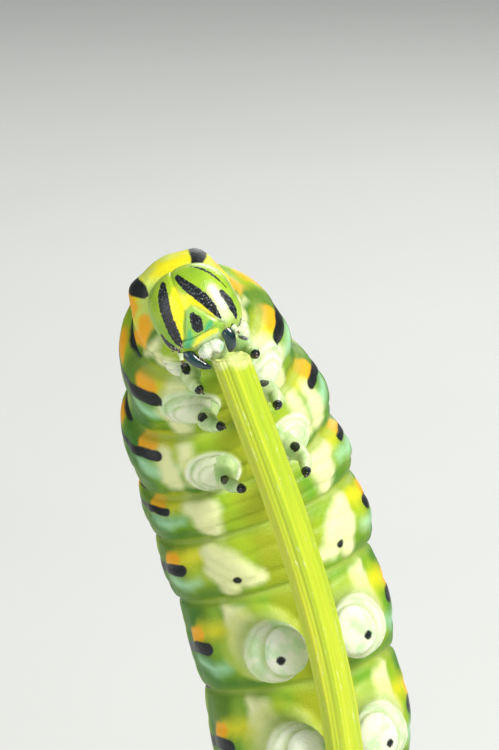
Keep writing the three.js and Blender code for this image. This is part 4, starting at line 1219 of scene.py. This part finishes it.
def stem_axis(count):
    """Axis from the top down: the lean from the vertical eases away, summed in small steps."""
    d = np.linspace(0, STEM_LENGTH, count)
    step = d[1]
    lean = np.radians(TOP_LEAN) * (1 - smoothstep(LEAN_EASES_FROM, LEAN_GONE_AT, d[1:] - step / 2))
    x = np.concatenate([[0], np.cumsum(np.sin(lean))]) * step
    z = -np.concatenate([[0], np.cumsum(np.cos(lean))]) * step
    return d, STEM_TOP + np.stack([x, 0 * x, z], -1)


def build_stem():
    """Ribbed stem: radius + rib * cos(ribs * angle) and finer ribs between, round a leaning axis.
    The top is bitten slantwise, with a ragged rim and a hollow middle."""
    d, axis = stem_axis(STEM_STEPS + 1)
    keep = np.concatenate([np.arange(STEM_FINE_STEPS), np.arange(STEM_FINE_STEPS, STEM_STEPS + 1, 4)])
    tangent = unit(np.gradient(axis, axis=0)[keep])
    d, centre = d[keep], axis[keep]
    side = np.array([0, 1.0, 0])
    across = unit(np.cross(tangent, side))
    angle = circle(STEM_SIDES)
    rib = np.cos(STEM_RIBS * angle + 0.4)
    fine = np.cos(3 * STEM_RIBS * angle + 1.0)
    radius = STEM_RADIUS + RIB_HEIGHT * 0.8 * rib + 0.012 * fine
    ring = across[:, None] * np.cos(angle)[None, :, None] + side * np.sin(angle)[None, :, None]
    points = centre[:, None] + radius[None, :, None] * ring
    points += 0.012 * ripple(points * np.array([1, 1, 0.2]), 0.8, 21)[..., None] * ring
    cut = BITE_RISE - BITE_SLOPE * np.cos(angle)
    ragged = sum(height * np.sin(waves * angle + turn) for height, waves, turn in BITE_TEETH)
    fade = smoothstep(BITE_REACH, 0, d)[:, None]
    points -= tangent[:, None] * ((cut + ragged)[None, :] * fade)[..., None]
    rim = points[:1]
    middle = rim.mean(axis=1, keepdims=True)
    down = tangent[:1, None]
    inside = np.concatenate([middle + (rim - middle) * share + down * depth for share, depth in PITH])
    inside += down * (0.03 * ripple(inside, 1.2, 22))[..., None]
    depth = np.concatenate([np.full(len(inside), -0.3), d])[:, None] + np.zeros((1, STEM_SIDES))
    attributes = {
        "rib": 0.5 - 0.5 * rib + 0 * depth,
        "round_x": np.cos(angle) + 0 * depth,
        "round_y": np.sin(angle) + 0 * depth,
        "along": depth,
        "bite": depth - 0.3,
        "rim": np.where(depth < 0, 0.05, depth - 0.05),
    }
    make_piece("green_stem", [np.concatenate([inside, points])], STEM, ["stem"], "stem", attributes)


build_stem()


# Stand: each part's profile of (radius, height), its corners' rounding, its sides, its axis's place in Y, its
# material, the part it replaces and its slot
STAND = {
    "base_board": (
        [(0.5, 0), (18.7, 0), (19, 0.4), (19, 3.2), (18.2, 4), (0.5, 4)],
        0.35, 160, 0, WALNUT, "stand_base", "base_wood"),
    "rod": ([(0.1, 4.3), (1.1, 4.3), (1.1, 11.3), (0.1, 11.3)], 0.12, 48, -2.5, BRASS, "stand_rod", "brass"),
    "cup": (
        [(0.1, 11.6), (1.9, 11.6), (1.9, 15.6), (1.1, 15.6), (1.1, 12.6), (0.1, 12.6)],
        0.15, 64, -2.5, BRASS, "stand_cup", "brass"),
}


def lathe(profile, y, sides):
    """A turned piece: the profile's (radius, height) carried round a vertical axis."""
    turn = circle(sides)
    ring = np.stack([np.cos(turn), np.sin(turn), 0 * turn], -1)
    radius, height = np.array(profile).T[:, :, None, None]
    return radius * ring + height * np.array([0, 0, 1.0]) + np.array([0, y, 0])


def rounded(corners, radius, steps=5):
    """A profile with each inner corner replaced by a curve: points eased between the two neighbouring edges."""
    corners = np.array(corners, dtype=float)
    t = np.linspace(0, 1, steps)[:, None]
    out = [corners[:1]]
    for before, corner, after in zip(corners[:-2], corners[1:-1], corners[2:]):
        edges = before - corner, after - corner
        a, b = (corner + edge * min(0.5, radius / np.linalg.norm(edge)) for edge in edges)
        out.append((1 - t) ** 2 * a + 2 * t * (1 - t) * corner + t**2 * b)
    return np.concatenate([*out, corners[-1:]])


def build_stand():
    for name, (profile, rounding, sides, y, material, replaced, slot) in STAND.items():
        make_piece(name, [lathe(rounded(profile, rounding), y, sides)], material, [replaced], slot)


build_stand()


# Floor and soft light
FLOOR_HALF, FLOOR_ROUGHNESS = 1.5, 0.7
# Lights: place, the point they face, size, power, colour
LIGHTS = {
    "key": ((0.15, -0.14, 0.24), (0, 0, 0.045), 0.1, 1.02, (1, 0.98, 0.93)),
    "fill": ((-0.24, -0.20, 0.12), (0, 0, 0.04), 0.24, 0.34, (1, 1, 1)),
    "back": ((0.05, 0.26, 0.2), (0, 0, 0.04), 0.2, 0.4, (1, 1, 1)),
}
SKY, SKY_STRENGTH = (0.86, 0.9, 0.88, 1), 0.29


def add_floor():
    mesh = bpy.data.meshes.new("floor")
    corners = [(x * FLOOR_HALF, y * FLOOR_HALF, 0) for x, y in ((-1, -1), (1, -1), (1, 1), (-1, 1))]
    mesh.from_pydata(corners, [], [(0, 1, 2, 3)])
    nodes = new_material("pale floor")
    colour = nodes.mix(nodes.noise(nodes.place(), 30.0), (0.72, 0.73, 0.71), (0.76, 0.77, 0.75))
    mesh.materials.append(finish_material(nodes, colour, FLOOR_ROUGHNESS))
    floor = bpy.data.objects.new("floor", mesh)
    bpy.context.scene.collection.objects.link(floor)


def add_light(name, place, target, size, power, colour):
    data = bpy.data.lights.new(name, "AREA")
    data.shape = "DISK"
    data.size = size
    data.energy = power
    data.color = colour
    light = bpy.data.objects.new(name, data)
    light.location = place
    light.rotation_euler = (Vector(target) - Vector(place)).to_track_quat("-Z", "Y").to_euler()
    bpy.context.scene.collection.objects.link(light)


def add_world():
    world = bpy.data.worlds.new("studio")
    world.use_nodes = True
    background = world.node_tree.nodes["Background"]
    background.inputs["Color"].default_value = SKY
    background.inputs["Strength"].default_value = SKY_STRENGTH
    bpy.context.scene.world = world
    bpy.context.scene.view_settings.view_transform = "Standard"


add_floor()
for light_name, settings in LIGHTS.items():
    add_light(light_name, *settings)
add_world()
